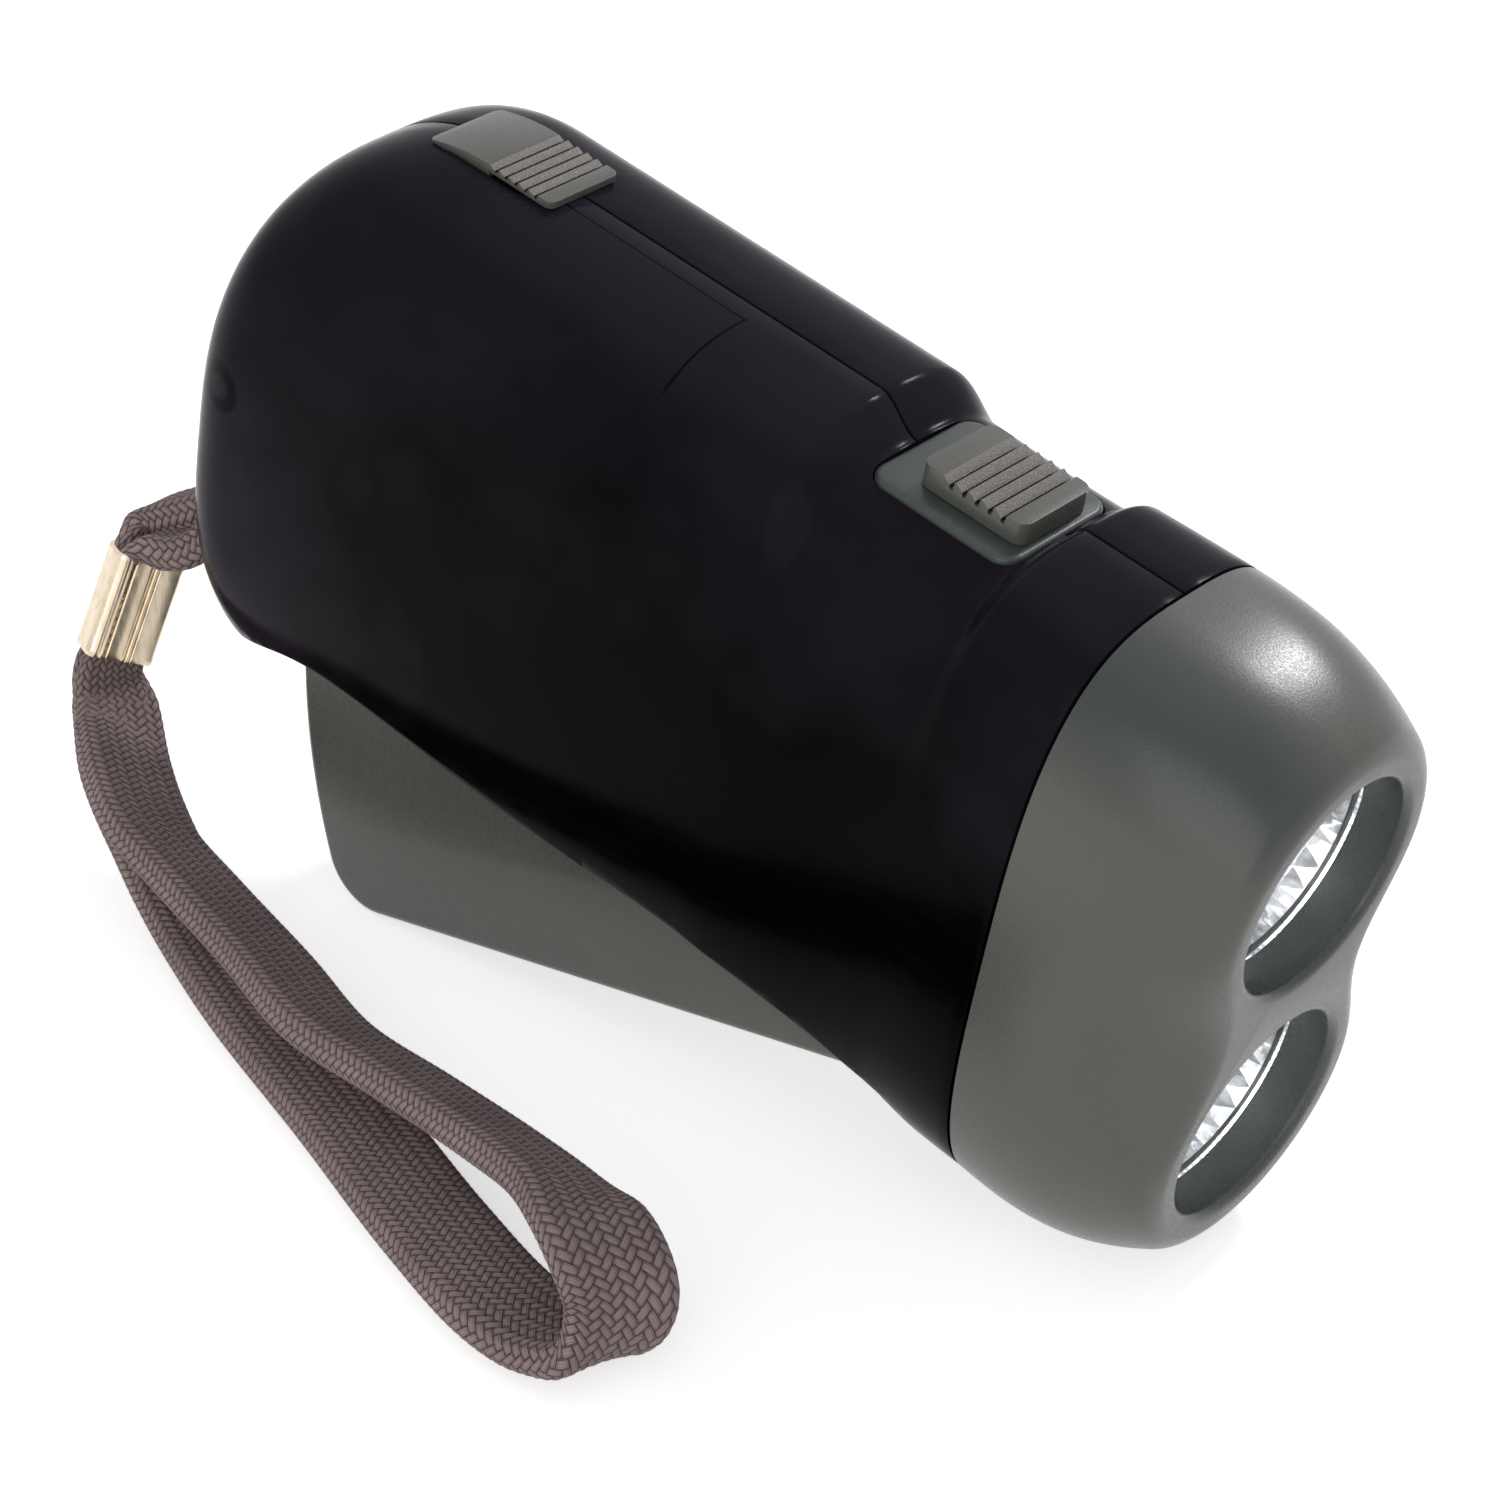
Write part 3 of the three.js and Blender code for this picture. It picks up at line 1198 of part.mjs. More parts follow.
// The crimp: a folded clip with three beads along its front
function strapCrimp() {
  const length = crimpTop.distanceTo(crimpBottom);
  const half = crimpWidth / 2;
  const beadDepth = crimpBead - crimpDepth / 2;
  const beadPitch = half - crimpBead;
  const back = crimpDepth / 2;
  const outline = [
    new THREE.Vector2(-half + gap / 2, beadDepth), new THREE.Vector2(half - gap / 2, beadDepth),
    new THREE.Vector2(half - gap / 2, back - crimpBead), new THREE.Vector2(half - crimpBead, back),
    new THREE.Vector2(crimpBead - half, back), new THREE.Vector2(gap / 2 - half, back - crimpBead),
  ];
  const core = new THREE.ExtrudeGeometry(new THREE.Shape(outline), { depth: length, bevelEnabled: false });
  core.translate(0, 0, -length / 2);
  let solid = solidOf(core);
  for (const place of [-1, 0, 1]) {
    const bead = new THREE.CylinderGeometry(crimpBead, crimpBead, length, 12);
    bead.rotateX(fullTurn / 4);
    bead.translate(place * beadPitch, beadDepth, 0);
    solid = solid.add(solidOf(bead));
  }
  const mesh = piece('strap_crimp', solid, 'nickel');
  mesh.quaternion.setFromRotationMatrix(new THREE.Matrix4().makeBasis(crimpSide, crimpBack, crimpAxis));
  mesh.position.addVectors(crimpTop, crimpBottom).divideScalar(2);
  return mesh;
}

// The flashlight, leaned forward until lever and head both touch the ground
const flashlight = new THREE.Group();
flashlight.add(...caseHalves(), ...caseScrewPieces(), ...headPieces());
flashlight.add(squeezeLever(), pivotPin(), toothedSector(), leverSpring());
flashlight.add(...pinionPieces(), driveGear(), idlerGear(), ...rotorPieces());
flashlight.add(...gearboxPieces(), ...dynamoPieces(), ...cellPieces(), ...boardPieces());
flashlight.add(...switchPieces(), lockSlider());

function lowest(name) {
  flashlight.updateMatrixWorld(true);
  return new THREE.Box3().setFromObject(flashlight.getObjectByName(name), true).min.z;
}

let flat = 0;
let steep = 25 * degree;
for (let i = 0; i < 30; i += 1) {
  flashlight.rotation.y = (flat + steep) / 2;
  if (lowest('squeeze_lever') < lowest('head_bezel')) {
    flat = flashlight.rotation.y;
  } else {
    steep = flashlight.rotation.y;
  }
}
flashlight.updateMatrixWorld(true);
const bounds = new THREE.Box3().setFromObject(flashlight, true);
flashlight.position.set(-(bounds.min.x + bounds.max.x) / 2, -(bounds.min.y + bounds.max.y) / 2, -bounds.min.z);

flashlight.updateMatrixWorld(true);

const part = new THREE.Group();
part.add(flashlight, strapLoop(), strapNeck(), strapCrimp());

export default part;
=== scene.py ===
"""Looks of the squeeze dynamo flashlight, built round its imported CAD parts.

Lengths in the formulas are millimetres in the flashlight's own frame: x along the lights, y to its left,
z up, with x = 0 at the joint of case and head. stand() leans that frame nose down and turns it to metres.
The strap and its crimp are worked out where the flashlight stands, with z = 0 on the table.
"""

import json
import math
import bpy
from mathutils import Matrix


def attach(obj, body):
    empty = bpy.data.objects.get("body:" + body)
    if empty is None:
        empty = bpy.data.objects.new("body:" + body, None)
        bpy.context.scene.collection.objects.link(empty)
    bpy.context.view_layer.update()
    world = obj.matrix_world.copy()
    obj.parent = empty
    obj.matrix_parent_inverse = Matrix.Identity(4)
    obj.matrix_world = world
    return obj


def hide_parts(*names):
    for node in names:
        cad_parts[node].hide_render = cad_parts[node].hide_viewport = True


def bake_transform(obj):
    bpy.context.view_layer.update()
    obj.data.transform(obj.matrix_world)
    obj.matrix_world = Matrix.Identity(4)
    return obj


bl_info = {
    "name": "Squeeze Dynamo Flashlight",
    "version": (1, 0, 0),
    "blender": (4, 5, 0),
    "location": "View3D > Sidebar > Flashlight",
    "description": "Builds a squeeze dynamo flashlight with its case, head, lever, controls and wrist strap",
    "category": "Add Mesh",
}

import bmesh
import bpy
import numpy as np
from bpy.props import FloatProperty, FloatVectorProperty, IntProperty, PointerProperty
from mathutils import Matrix, Vector

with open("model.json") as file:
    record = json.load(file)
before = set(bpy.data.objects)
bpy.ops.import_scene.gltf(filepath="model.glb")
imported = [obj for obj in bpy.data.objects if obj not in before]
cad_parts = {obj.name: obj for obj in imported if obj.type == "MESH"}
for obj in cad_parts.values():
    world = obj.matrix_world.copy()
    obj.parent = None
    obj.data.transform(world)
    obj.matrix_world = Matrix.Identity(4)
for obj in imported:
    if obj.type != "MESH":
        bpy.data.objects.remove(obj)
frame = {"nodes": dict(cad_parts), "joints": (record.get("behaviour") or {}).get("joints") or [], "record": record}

# Case form, with the half width and half height of its section at the head joint
SECTION = np.array([15, 27])
SECTION_POWER = 3.1
FLANK_STEPS, CORNER_STEPS = 12, 26
SADDLE_REAR, SADDLE_FRONT = -24.6, -10.9
DECK_FRONT, COLLAR_REAR = -28.6, -8.7
REAR_TOP = (19, 23)
REAR_BOTTOM, REAR_INSIDE = (15, 13), (9, 7)
REAR_SIDE = (6.5, 5)
REAR_BELLY, SIDE_BELLY, REAR_FLOOR = 23.2, 30, 22.5
BELLY_PLACES = (-80, -70, -20, -6)
NECK_WAIST, NECK_X, NECK_SPREAD = 0.7, -14, 14
EDGE_REAR, EDGE_FRONT, EDGE_HEIGHT, EDGE_RAMP, EDGE_RUN = -70.4, -7.5, 19.2, 9, 3
EDGE_SHARES = np.array([
    [0, 1], [0.31, 0.995], [0.46, 0.97], [0.67, 0.922], [0.84, 0.974], [0.93, 1.03], [1, 1.1],
])
SEAM = 0.3
GAP = 0.3

# Openings and posts of the case
OUTSIDE = 100
HOLLOW_FRONT, CUT_DEPTH, CUT_OVER = 2, 3.6, 2
SLOT_OVER, SLOT_PLAY = 2, 0.8
NOTCH_ENDS, NOTCH_HALF, NOTCH_CORNER, NOTCH_SIDE = (-90, -81), 5.9, 1.2, 5.4
SCREWS = [(-81.9, 2.9), (-46, 20.6), (-6.2, 8)]
BOSS_RADIUS, PIN_BOSS_RADIUS, POST_RADIUS = 3, 3.5, 2
SCREW_HOLE, SCREW_END = 1.3, -7.3
HEAD_HOLE, HEAD_SEAT = 2.3, 8.6
PIN_HOLE, PIN_END = 2.3, 12.6
CASE_ROUND, CASE_CREASE = 0.22, 38

# Head form
LOBE_Z = 11.36
LOBE_RADIUS, WAIST_DEPTH, HEAD_POWER, HEAD_BELLY = 11.9, 2.9, 2.6, 0.6
TONGUE_REAR, TONGUE_WALL, HOLLOW_REAR, HOLLOW_END = -2.6, 1.2, -5, 11
BORE_FLARE, SEAT_REAR, SEAT_RADIUS = 0.75, 9, 9.8

# Lenses, diodes and reflectors
LENS_FRONT, LENS_EDGE, LENS_THICK, LENS_CROWN = 13.6, 9.6, 1.3, 0.35
DIODE_REAR, DIODE_FLANGE, DIODE_STEP, DIODE_RADIUS, DIODE_TALL = 2.7, 2.9, 3.3, 2.5, 8.3
BOWL_REAR, BOWL_EYE, BOWL_RIM, BOWL_WALL = 4.4, 3.2, 9, 0.8
FACET_DENT, FACET_RINGS = 0.055, 9

# Lever, from its pivot
PIVOT = np.array([-15.8, 0, -15.6])
LEVER_SLOPE, LEVER_TOP = math.radians(22.5), math.radians(-1.8)
LEVER_REACH, LEVER_BARREL, LEVER_CORNER, LEVER_ROUND = 58.5, 8, 5, 0.9
HUB_RADIUS, HUB_INSIDE = 4, 5.5

# Top controls
PLATE_FRONT, PLATE_LENGTH, PLATE_WIDTH, PLATE_CORNER = -10.7, 13.8, 11.9, 1.75
PLATE_LOW, PLATE_ROUND, FLANGE_REACH, FLANGE_TOP = 21, 0.45, 1, 22
PLATE_REAR = PLATE_FRONT - PLATE_LENGTH
STEM_SLOT, STEM_ENDS, STEM_LOW, STEM_FOOT_TOP = (-21.7, -14.1), (-18.4, -14.4), 20.1, 20.7
SLOT_HALF, SLOT_CORNER, FLANGE_CORNER = 1.7, 0.3, 0.6
STEM_HALF, STEM_FOOT_HALF, STEM_CORNER = 1.4, 3, 0.2
KNOB_FRONT, KNOB_LENGTH, KNOB_WIDTH, KNOB_TOP, KNOB_CORNER, KNOB_ROUND = -11.5, 9.8, 8, 27.4, 1.0, 0.12
LOCK_REAR, LOCK_LENGTH, LOCK_WIDTH, LOCK_TOP, LOCK_CORNER, LOCK_ROUND = -72.4, 13.2, 7.6, 28.5, 0.7, 0.08
LOCK_TRAVEL, LOCK_DROOP, SEAT = 3, 1.15, 0.08
LOCK_TRACK, TRACK_CORNER, LOCK_HOLE = (-75, -62, 27.2), 0.8, (-69.6, -64.5)
LEG_ENDS, LEG_LOW, LEG_FOOT, HOOK_SIDE, HOOK_TOP = (-69.3, -67.8), 11.8, (24.6, 25.4), -7.4, 13.2
LEG_HALF, LEG_FOOT_HALF, LEG_CORNER = 1.3, 2.4, 0.2
RIDGES = 5
KNOB_RIDGES, LOCK_RIDGES = (0.22, 0.84), (0.5, 0.9)
KNOB_TOOTH, LOCK_TOOTH = 0.8, 0.45
TOOTH = np.array([[0.0, 0], [0.54, -0.55], [0.58, -1], [0.82, -1], [0.87, -0.08], [0.94, 0]])

# Painted tones of grained plastic: painted shade away from the lamp's glow, and painted light on the
# forward-facing slopes of the ridges
SHADED = (0.4, 0.52, 0.53)
PAINTED_SLOPE_LIGHT = (0.4, 0.36, 0.335)

# Lines of the lip and a rib that show through the case: place, width, both ends, and least height in metres
LIP_LINE = (-1.95, 0.14, -61, -40.6, 0.026)
RIB_LINE = (-40.6, 0.16, -10, -2, 0.0235)

# Strap route where the flashlight stands, as shares of its reach
STRAP_REACH = 90
CRIMP_TOP = np.array([-0.7273, -0.0958, 0.2797]) * STRAP_REACH
CRIMP_BOTTOM = np.array([-0.7423, -0.1398, 0.1807]) * STRAP_REACH
CRIMP_HOLE, CRIMP_HOLE_SHIFT = np.array([2.8, 1.3]), np.array([0, 0.02])
CRIMP_LIPS = [
    (0, 0.975), (0.012, 1), (0.035, 1.012), (0.06, 1.012), (0.1, 1), (0.3, 1), (0.5, 1), (0.7, 1), (0.9, 1),
    (0.94, 1.012), (0.965, 1.012), (0.988, 1), (1, 0.975),
]
CRIMP_SIDE = np.array([0.355, 0.833, -0.425])
LOOP_SHARES = np.array([
    [-0.712, -0.169, 0.122], [-0.651, -0.206, 0.098], [-0.591, -0.237, 0.086], [-0.496, -0.261, 0.074],
    [-0.362, -0.296, 0.066], [-0.236, -0.338, 0.067], [-0.107, -0.355, 0.075], [0.022, -0.377, 0.088],
    [0.121, -0.403, 0.102], [0.195, -0.434, 0.107], [0.231, -0.449, 0.07], [0.22, -0.464, 0.034],
    [0.18, -0.471, 0.021], [0.122, -0.47, 0.02], [0.001, -0.436, 0.02], [-0.179, -0.372, 0.02],
    [-0.368, -0.308, 0.021], [-0.488, -0.262, 0.029], [-0.588, -0.228, 0.053], [-0.674, -0.192, 0.094],
    [-0.728, -0.155, 0.137],
])
LEANING, LYING = np.array([0.34, 0.8, -0.49]), np.array([0.383, 0.921, 0])
OUTER_NECK = np.array([
    [-0.6513, -0.0228, 0.3456], [-0.6957, -0.0498, 0.3216], [-0.7204, -0.0626, 0.3112],
    [-0.7426, -0.0782, 0.2967], [-0.7437, -0.0888, 0.2895],
])
INNER_NECK = np.array([
    [-0.7117, -0.095, 0.2885], [-0.6939, -0.0882, 0.291], [-0.673, -0.0757, 0.2969],
    [-0.6391, -0.0368, 0.3321],
])
POST = np.array([-83.3, 0, -15.3])
POST_TURN = 3.8
GROUND_GAP, LIFT_REACH = 0.1, 6
STRAND_SPACING, STRAND_LEAD = 1.35, 1.6
STRAP_SECTION = (4.5, 1.5)
LEANING_STOPS, LYING_STOPS = 8, 17

# Camera from the photograph's fit, in degrees, millimetres from the top of the head joint, and its lens
CAMERA_TURN, CAMERA_RISE, FIT_LEAN = 41.9477, 32.3001, 11.4426
CAMERA_OFF, CAMERA_LENS = (-30.41, -11.02, 288.8), 98.93

# Lamps in metres: name, place, size, power and colour
LAMPS = [
    ("back_lamp", (0.08, 0.62, 0.6), (0.1, 0.1), 2.5, (0.97, 0.95, 1)),
    ("front_lamp", (0.45, -1.05, 0.45), (1.1, 0.8), 3.6, (1, 0.97, 0.92)),
    ("top_lamp", (0.1, -0.1, 1.0), (0.6, 0.6), 0.3, (1, 1, 1)),
]
LAMP_TARGET = (0.02, 0, 0.04)
LIGHT_ALL_ROUND, FLOOR_GLOW = 0.42, 0.66

# Width and thickness of the strap along its route, as shares of its own
BUNCHED, PRESSED, SQUEEZED, EASED, OPEN = (0.46, 1.06), (0.62, 0.42), (0.68, 0.6), (0.92, 0.95), (1, 1)
PLAIT_SAMPLES, PLAIT_RELIEF = (4, 3), 0.17

# Length of strap over which its middle line, width direction and section are evened out
LINE_MEAN, SIDE_MEAN, SECTION_MEAN = 4.5, 8, 1.5


# sizes and colours


def length(name, text, metres):
    return FloatProperty(name=name, description=text, default=metres, min=0.0, precision=4, unit="LENGTH")


def tint(name, text, colour):
    return FloatVectorProperty(name=name, description=text, default=colour, min=0, max=1, subtype="COLOR")


class FlashlightCaseSizes(bpy.types.PropertyGroup):
    """Outside sizes of the case."""

    length: length("Case length", "From the rear of the case to the head joint", 0.0869)
    half_width: length("Half width", "Half the width of the grip's section", 0.015)
    half_height: length("Half height", "Half the height of the grip's section", 0.027)
    wall: length("Wall", "Thickness of the case and head walls", 0.0018)
    deck: length("Deck height", "Height of the deck over the middle of the section", 0.0278)
    saddle: length("Saddle height", "Height of the saddle that holds the switch plate", 0.0254)


class FlashlightHeadSizes(bpy.types.PropertyGroup):
    """Sizes of the head and its two lights."""

    length: length("Head length", "From the case joint to the rim", 0.0175)
    bore: length("Bore radius", "Radius of each light's opening", 0.009)
    rim: length("Rim rounding", "Rounding of the rim's outer edge", 0.0013)
    facets: IntProperty(name="Facets", description="Facets round each reflector", default=30, min=6, max=40)


class FlashlightLeverSizes(bpy.types.PropertyGroup):
    """Sizes of the squeeze lever."""

    width: length("Lever width", "Width over the lever's sides", 0.021)
    wall: length("Lever wall", "Wall thickness of the lever", 0.0016)


class FlashlightStrapSizes(bpy.types.PropertyGroup):
    """Sizes of the braided wrist strap."""

    width: length("Strap width", "Width of the flat braid", 0.009)
    thickness: length("Strap thickness", "Thickness of the flat braid", 0.003)
    yarns: IntProperty(name="Yarns", description="Plaits round the braid", default=22, min=8, max=24)
    pitch: length("Plait pitch", "Length of strap from one plait to the next", 0.00082)


class FlashlightColours(bpy.types.PropertyGroup):
    """Colours of the finishes."""

    smoke: tint("Smoke plastic", "Colour of the case", (0.0058, 0.0046, 0.0072))
    grey: tint("Grey plastic", "Colour of head and lever", (0.104, 0.106, 0.095))
    slate: tint("Slate plastic", "Colour of the switch plate", (0.044, 0.058, 0.054))
    braid: tint("Braid", "Colour of the strap's yarn", (0.27, 0.2, 0.21))
    # Painted light: the paler colour on the strap's edges stands in for light catching them
    braid_edge_light: tint("Braid edge", "Lighter colour where the yarn is worn", (0.5, 0.38, 0.36))
    nickel: tint("Nickel", "Colour of the crimp", (0.78, 0.66, 0.5))
    backdrop: tint("Backdrop", "Colour of the floor and background", (1.0, 1.0, 1.0))


# frame of the flashlight


def joint_of(name):
    return next(j for j in frame["joints"] if j["name"] == name)


SLIDE = joint_of("switch_slide")["axis"]
PITCH = math.atan2(SLIDE[2], -SLIDE[0])


def leaned(points, angle=PITCH):
    """Points in the flashlight's frame turned nose down about y, by the pitch; still in millimetres."""
    p = np.asarray(points, float)
    c, s = math.cos(angle), math.sin(angle)
    return np.stack([p[..., 0] * c + p[..., 2] * s, p[..., 1], p[..., 2] * c - p[..., 0] * s], axis=-1)


PLACE = np.array(joint_of("lever_swing")["pos_m"]) * 1000 - leaned(PIVOT)


def standing(points):
    """Points in the flashlight's frame where it stands, in millimetres."""
    return leaned(points) + PLACE


def stand(points):
    """The same places in metres."""
    return standing(points) / 1000


# mesh helpers


def grid_faces(rows, columns):
    """Quads between neighbouring rows of a grid of points, with each row closed to a ring."""
    i = np.arange(rows - 1)[:, None]
    j = np.arange(columns)[None, :]
    a = i * columns + j
    b = i * columns + (j + 1) % columns
    return np.stack([a, b, b + columns, a + columns], axis=-1).reshape(-1, 4).tolist()


def capped_faces(rows, columns):
    """The same quads and a flat face on each end."""
    ends = [list(range(columns)), list(range((rows - 1) * columns, rows * columns))]
    return grid_faces(rows, columns) + ends


def looped_faces(rows, columns):
    """Quads of a grid of points whose last row joins the first."""
    last = (rows - 1) * columns
    closing = [[last + j, last + (j + 1) % columns, (j + 1) % columns, j] for j in range(columns)]
    return grid_faces(rows, columns) + closing


def linked(name, data):
    """An object with the data, put in the scene."""
    made = bpy.data.objects.new(name, data)
    bpy.context.scene.collection.objects.link(made)
    return made


def copy_of(piece):
    return linked(piece.name, piece.data.copy())


def reworked(mesh, *steps):
    """Applies steps of bmesh work to a mesh, then turns its faces outwards."""
    shape = bmesh.new()
    shape.from_mesh(mesh)
    for step in steps:
        step(shape)
    bmesh.ops.recalc_face_normals(shape, faces=shape.faces)
    shape.to_mesh(mesh)
    shape.free()


def raw_object(name, points, faces):
    """A mesh object from points in metres, with its faces turned to point outwards."""
    mesh = bpy.data.meshes.new(name)
    mesh.from_pydata(np.asarray(points, float).reshape(-1, 3).tolist(), [], faces)
    reworked(mesh)
    return linked(name, mesh)


def skin(name, rings):
    """A closed skin through rings (rows, columns, 3) in metres, with a flat face on each end."""
    return raw_object(name, rings, capped_faces(*rings.shape[:2]))


def prism(name, outline, low, high, axis):
    """A flat outline (n, 2) carried straight along one axis; the outline's axes are the other two, in
    order."""
    outline = np.asarray(outline, float)
    rings = np.stack([np.insert(outline, axis, level, axis=1) for level in (low, high)])
    return skin(name, stand(rings))


def turned(name, profile, x, y, z, axis, sides=64):
    """A closed profile of (radius, along) points turned round an axis of the flashlight through (x, y, z).
    A profile starts and ends on the axis: radius 0."""
    profile = np.asarray(profile, float)
    angle = np.arange(sides) * 2 * np.pi / sides
    ring = np.zeros((len(profile), sides, 3))
    first, second = [k for k in range(3) if k != axis]
    ring[..., axis] = profile[:, 1:2]
    ring[..., first] = profile[:, 0:1] * np.cos(angle)
    ring[..., second] = profile[:, 0:1] * np.sin(angle)
    piece = raw_object(name, stand(ring + np.array([x, y, z])), grid_faces(len(profile), sides))
    merge(piece)
    return piece


def rod(name, x, z, radius, y0, y1, sides=40):
    """A round rod across the flashlight at (x, z)."""
    return turned(name, [[0, y0], [radius, y0], [radius, y1], [0, y1]], x, 0, z, 1, sides)


def merge(piece, distance=1e-6):
    """Joins points that share a place and turns the faces out again."""
    reworked(
        piece.data,
        lambda shape: bmesh.ops.remove_doubles(shape, verts=shape.verts, dist=distance),
        lambda shape: bmesh.ops.dissolve_degenerate(shape, edges=shape.edges, dist=distance),
    )


def settle(piece):
    """Works the piece's modifiers into its mesh."""
    bpy.context.view_layer.update()
    evaluated = piece.evaluated_get(bpy.context.evaluated_depsgraph_get())
    made = bpy.data.meshes.new_from_object(evaluated)
    old = piece.data
    piece.modifiers.clear()
    piece.data = made
    bpy.data.meshes.remove(old)


def carve(piece, tools, operation="DIFFERENCE"):
    """Cuts each tool from the piece, or joins it on, and removes the tools."""
    for tool in tools:
        step = piece.modifiers.new("carve", "BOOLEAN")
        step.operation = operation
        step.solver = "MANIFOLD"
        step.object = tool
    settle(piece)
    for tool in tools:
        bpy.data.objects.remove(tool)
    return piece


def soften(piece, width, segments=2, angle=35):
    """Rounds every edge sharper than the angle, width in millimetres."""
    merge(piece, 5e-6)
    step = piece.modifiers.new("edges", "BEVEL")
    step.width = width / 1000
    step.segments = segments
    step.limit_method = "ANGLE"
    step.angle_limit = math.radians(angle)
    step.use_clamp_overlap = True
    settle(piece)
    return piece


def finish(piece, material, body, slot, *nodes, smooth=40):
    """Gives a piece its material, its soft or crisp shading and its body, and hides the CAD nodes that it
    stands for."""
    piece.data.materials.clear()
    piece.data.materials.append(material)
    if smooth:
        piece.data.shade_smooth()
        piece.data.set_sharp_from_angle(angle=math.radians(smooth))
    if body:
        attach(piece, body)
    if nodes:
        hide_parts(*nodes)
    return piece


def smooth_step(x, low, high):
    """0 below low and 1 above high, with t^2 (3 - 2t) between."""
    t = np.clip((x - low) / (high - low), 0, 1)
    return t * t * (3 - 2 * t)


def arc(cx, cy, radius, start, end, steps):
    """Points on a circle from one angle to another, in degrees."""
    angle = np.radians(np.linspace(start, end, steps))
    return np.stack([cx + radius * np.cos(angle), cy + radius * np.sin(angle)], axis=-1)


def rounded_box(x0, x1, y0, y1, radius, steps=8):
    """The outline of a rectangle whose corners are quarter circles."""
    x, y = (x0 + radius, x1 - radius), (y0 + radius, y1 - radius)
    corners = (x[1], y[1]), (x[0], y[1]), (x[0], y[0]), (x[1], y[0])
    return np.concatenate([arc(*c, radius, 90 * k, 90 * (k + 1), steps) for k, c in enumerate(corners)])


def block(name, ends, half, corner, low, high):
    """An upright block from one place along x to another and from low to high, with rounded upright edges."""
    return prism(name, rounded_box(*ends, -half, half, corner), low, high, 2)


def spline(points, samples):
    """A centripetal curve through points: between two of them, cubic in the square root of their distance.
    Returns the points on it and where each lies among the given points."""
    p = np.asarray(points, float)
    p = np.concatenate([[2 * p[0] - p[1]], p, [2 * p[-1] - p[-2]]])
    knots = np.concatenate([[0], np.cumsum(np.sqrt(np.linalg.norm(np.diff(p, axis=0), axis=1)))])
    last = len(p) - 3
    place = np.linspace(0, last, last * samples + 1)
    i = np.minimum(place.astype(int), last - 1)
    t0, t1, t2, t3 = (knots[i + k][:, None] for k in range(4))
    t = t1 + (t2 - t1) * (place - i)[:, None]

    def mix(a, b, ta, tb):
        return (a * (tb - t) + b * (t - ta)) / (tb - ta)

    p0, p1, p2, p3 = (p[i + k] for k in range(4))
    a1, a2, a3 = mix(p0, p1, t0, t1), mix(p1, p2, t1, t2), mix(p2, p3, t2, t3)
    return mix(mix(a1, a2, t0, t2), mix(a2, a3, t1, t3), t1, t2), place


# sections


def unit_quarter():
    """From the side to the top of a squared oval of half width and height 1: straight steps of height along
    the flank, then steps of angle, with y = cos^(2/power) and z = sin^(2/power)."""
    share = LOBE_Z / SECTION[1]
    rise = share * np.arange(FLANK_STEPS) / FLANK_STEPS
    start = math.asin(share ** (SECTION_POWER / 2))
    angle = start + (math.pi / 2 - start) * np.arange(CORNER_STEPS + 1) / CORNER_STEPS
    y = np.concatenate([(1 - rise**SECTION_POWER) ** (1 / SECTION_POWER),
                        np.abs(np.cos(angle)) ** (2 / SECTION_POWER)])
    y[-1] = 0
    return np.stack([y, np.concatenate([rise, np.sin(angle) ** (2 / SECTION_POWER)])], axis=-1)


def lobe_quarter(radius):
    """From the waist to the top of the outline round two bores: y = radius - waist cos^2 along the flank,
    then a quarter circle round the bore."""
    rise = np.arange(FLANK_STEPS) / FLANK_STEPS
    angle = (math.pi / 2) * np.arange(CORNER_STEPS + 1) / CORNER_STEPS
    y = np.concatenate([radius - WAIST_DEPTH * np.cos(rise * math.pi / 2) ** 2, radius * np.cos(angle)])
    return np.stack([y, np.concatenate([LOBE_Z * rise, LOBE_Z + radius * np.sin(angle)])], axis=-1)


def whole(quarter):
    """A quarter's points mirrored into a closed outline (n, 2)."""
    upper = np.concatenate([quarter, quarter[-2::-1] * [-1, 1]])
    return np.concatenate([upper, upper[-2:0:-1] * [1, -1]])


def corner_drop(distance, run, rise):
    """How far an elliptical corner lies inside its straight sides, at a distance from the end."""
    back = np.clip((run - np.maximum(distance, 0)) / run, 0, 1)
    return rise * (1 - np.sqrt(1 - back * back))


def case_rings(x, inset, sizes):
    """Squared ovals at each x, between the deck and belly lines, less the rounding of the rear end."""
    along = x + sizes.length * 1000 - inset
    deck, saddle = sizes.deck * 1000, sizes.saddle * 1000
    top = deck - (deck - saddle) * smooth_step(x, DECK_FRONT, SADDLE_REAR)
    top = top + (sizes.half_height * 1000 - saddle) * smooth_step(x, SADDLE_FRONT, COLLAR_REAR)
    belly, corner = (REAR_BELLY, REAR_INSIDE) if inset else (SIDE_BELLY, REAR_BOTTOM)
    low = -belly - (SIDE_BELLY - belly) * smooth_step(x, *BELLY_PLACES[:2])
    low = low + (SIDE_BELLY - sizes.half_height * 1000) * smooth_step(x, *BELLY_PLACES[2:])
    from_neck = np.clip(np.abs(x - NECK_X) / NECK_SPREAD, 0, 1)
    half = sizes.half_width * 1000 - NECK_WAIST * np.cos(from_neck * np.pi / 2) ** 2
    top = top - inset - corner_drop(along, REAR_TOP[0] - inset, REAR_TOP[1] - inset)
    low = low + inset + corner_drop(along, corner[0] - inset, corner[1] - inset)
    half = half - inset - corner_drop(along, REAR_SIDE[0] - inset, REAR_SIDE[1] - inset)
    outline = whole(unit_quarter())
    y = half[:, None] * outline[:, 0]
    z = ((top + low) / 2)[:, None] + ((top - low) / 2)[:, None] * outline[:, 1]
    return np.stack([np.broadcast_to(x[:, None], y.shape), y, z], axis=-1)


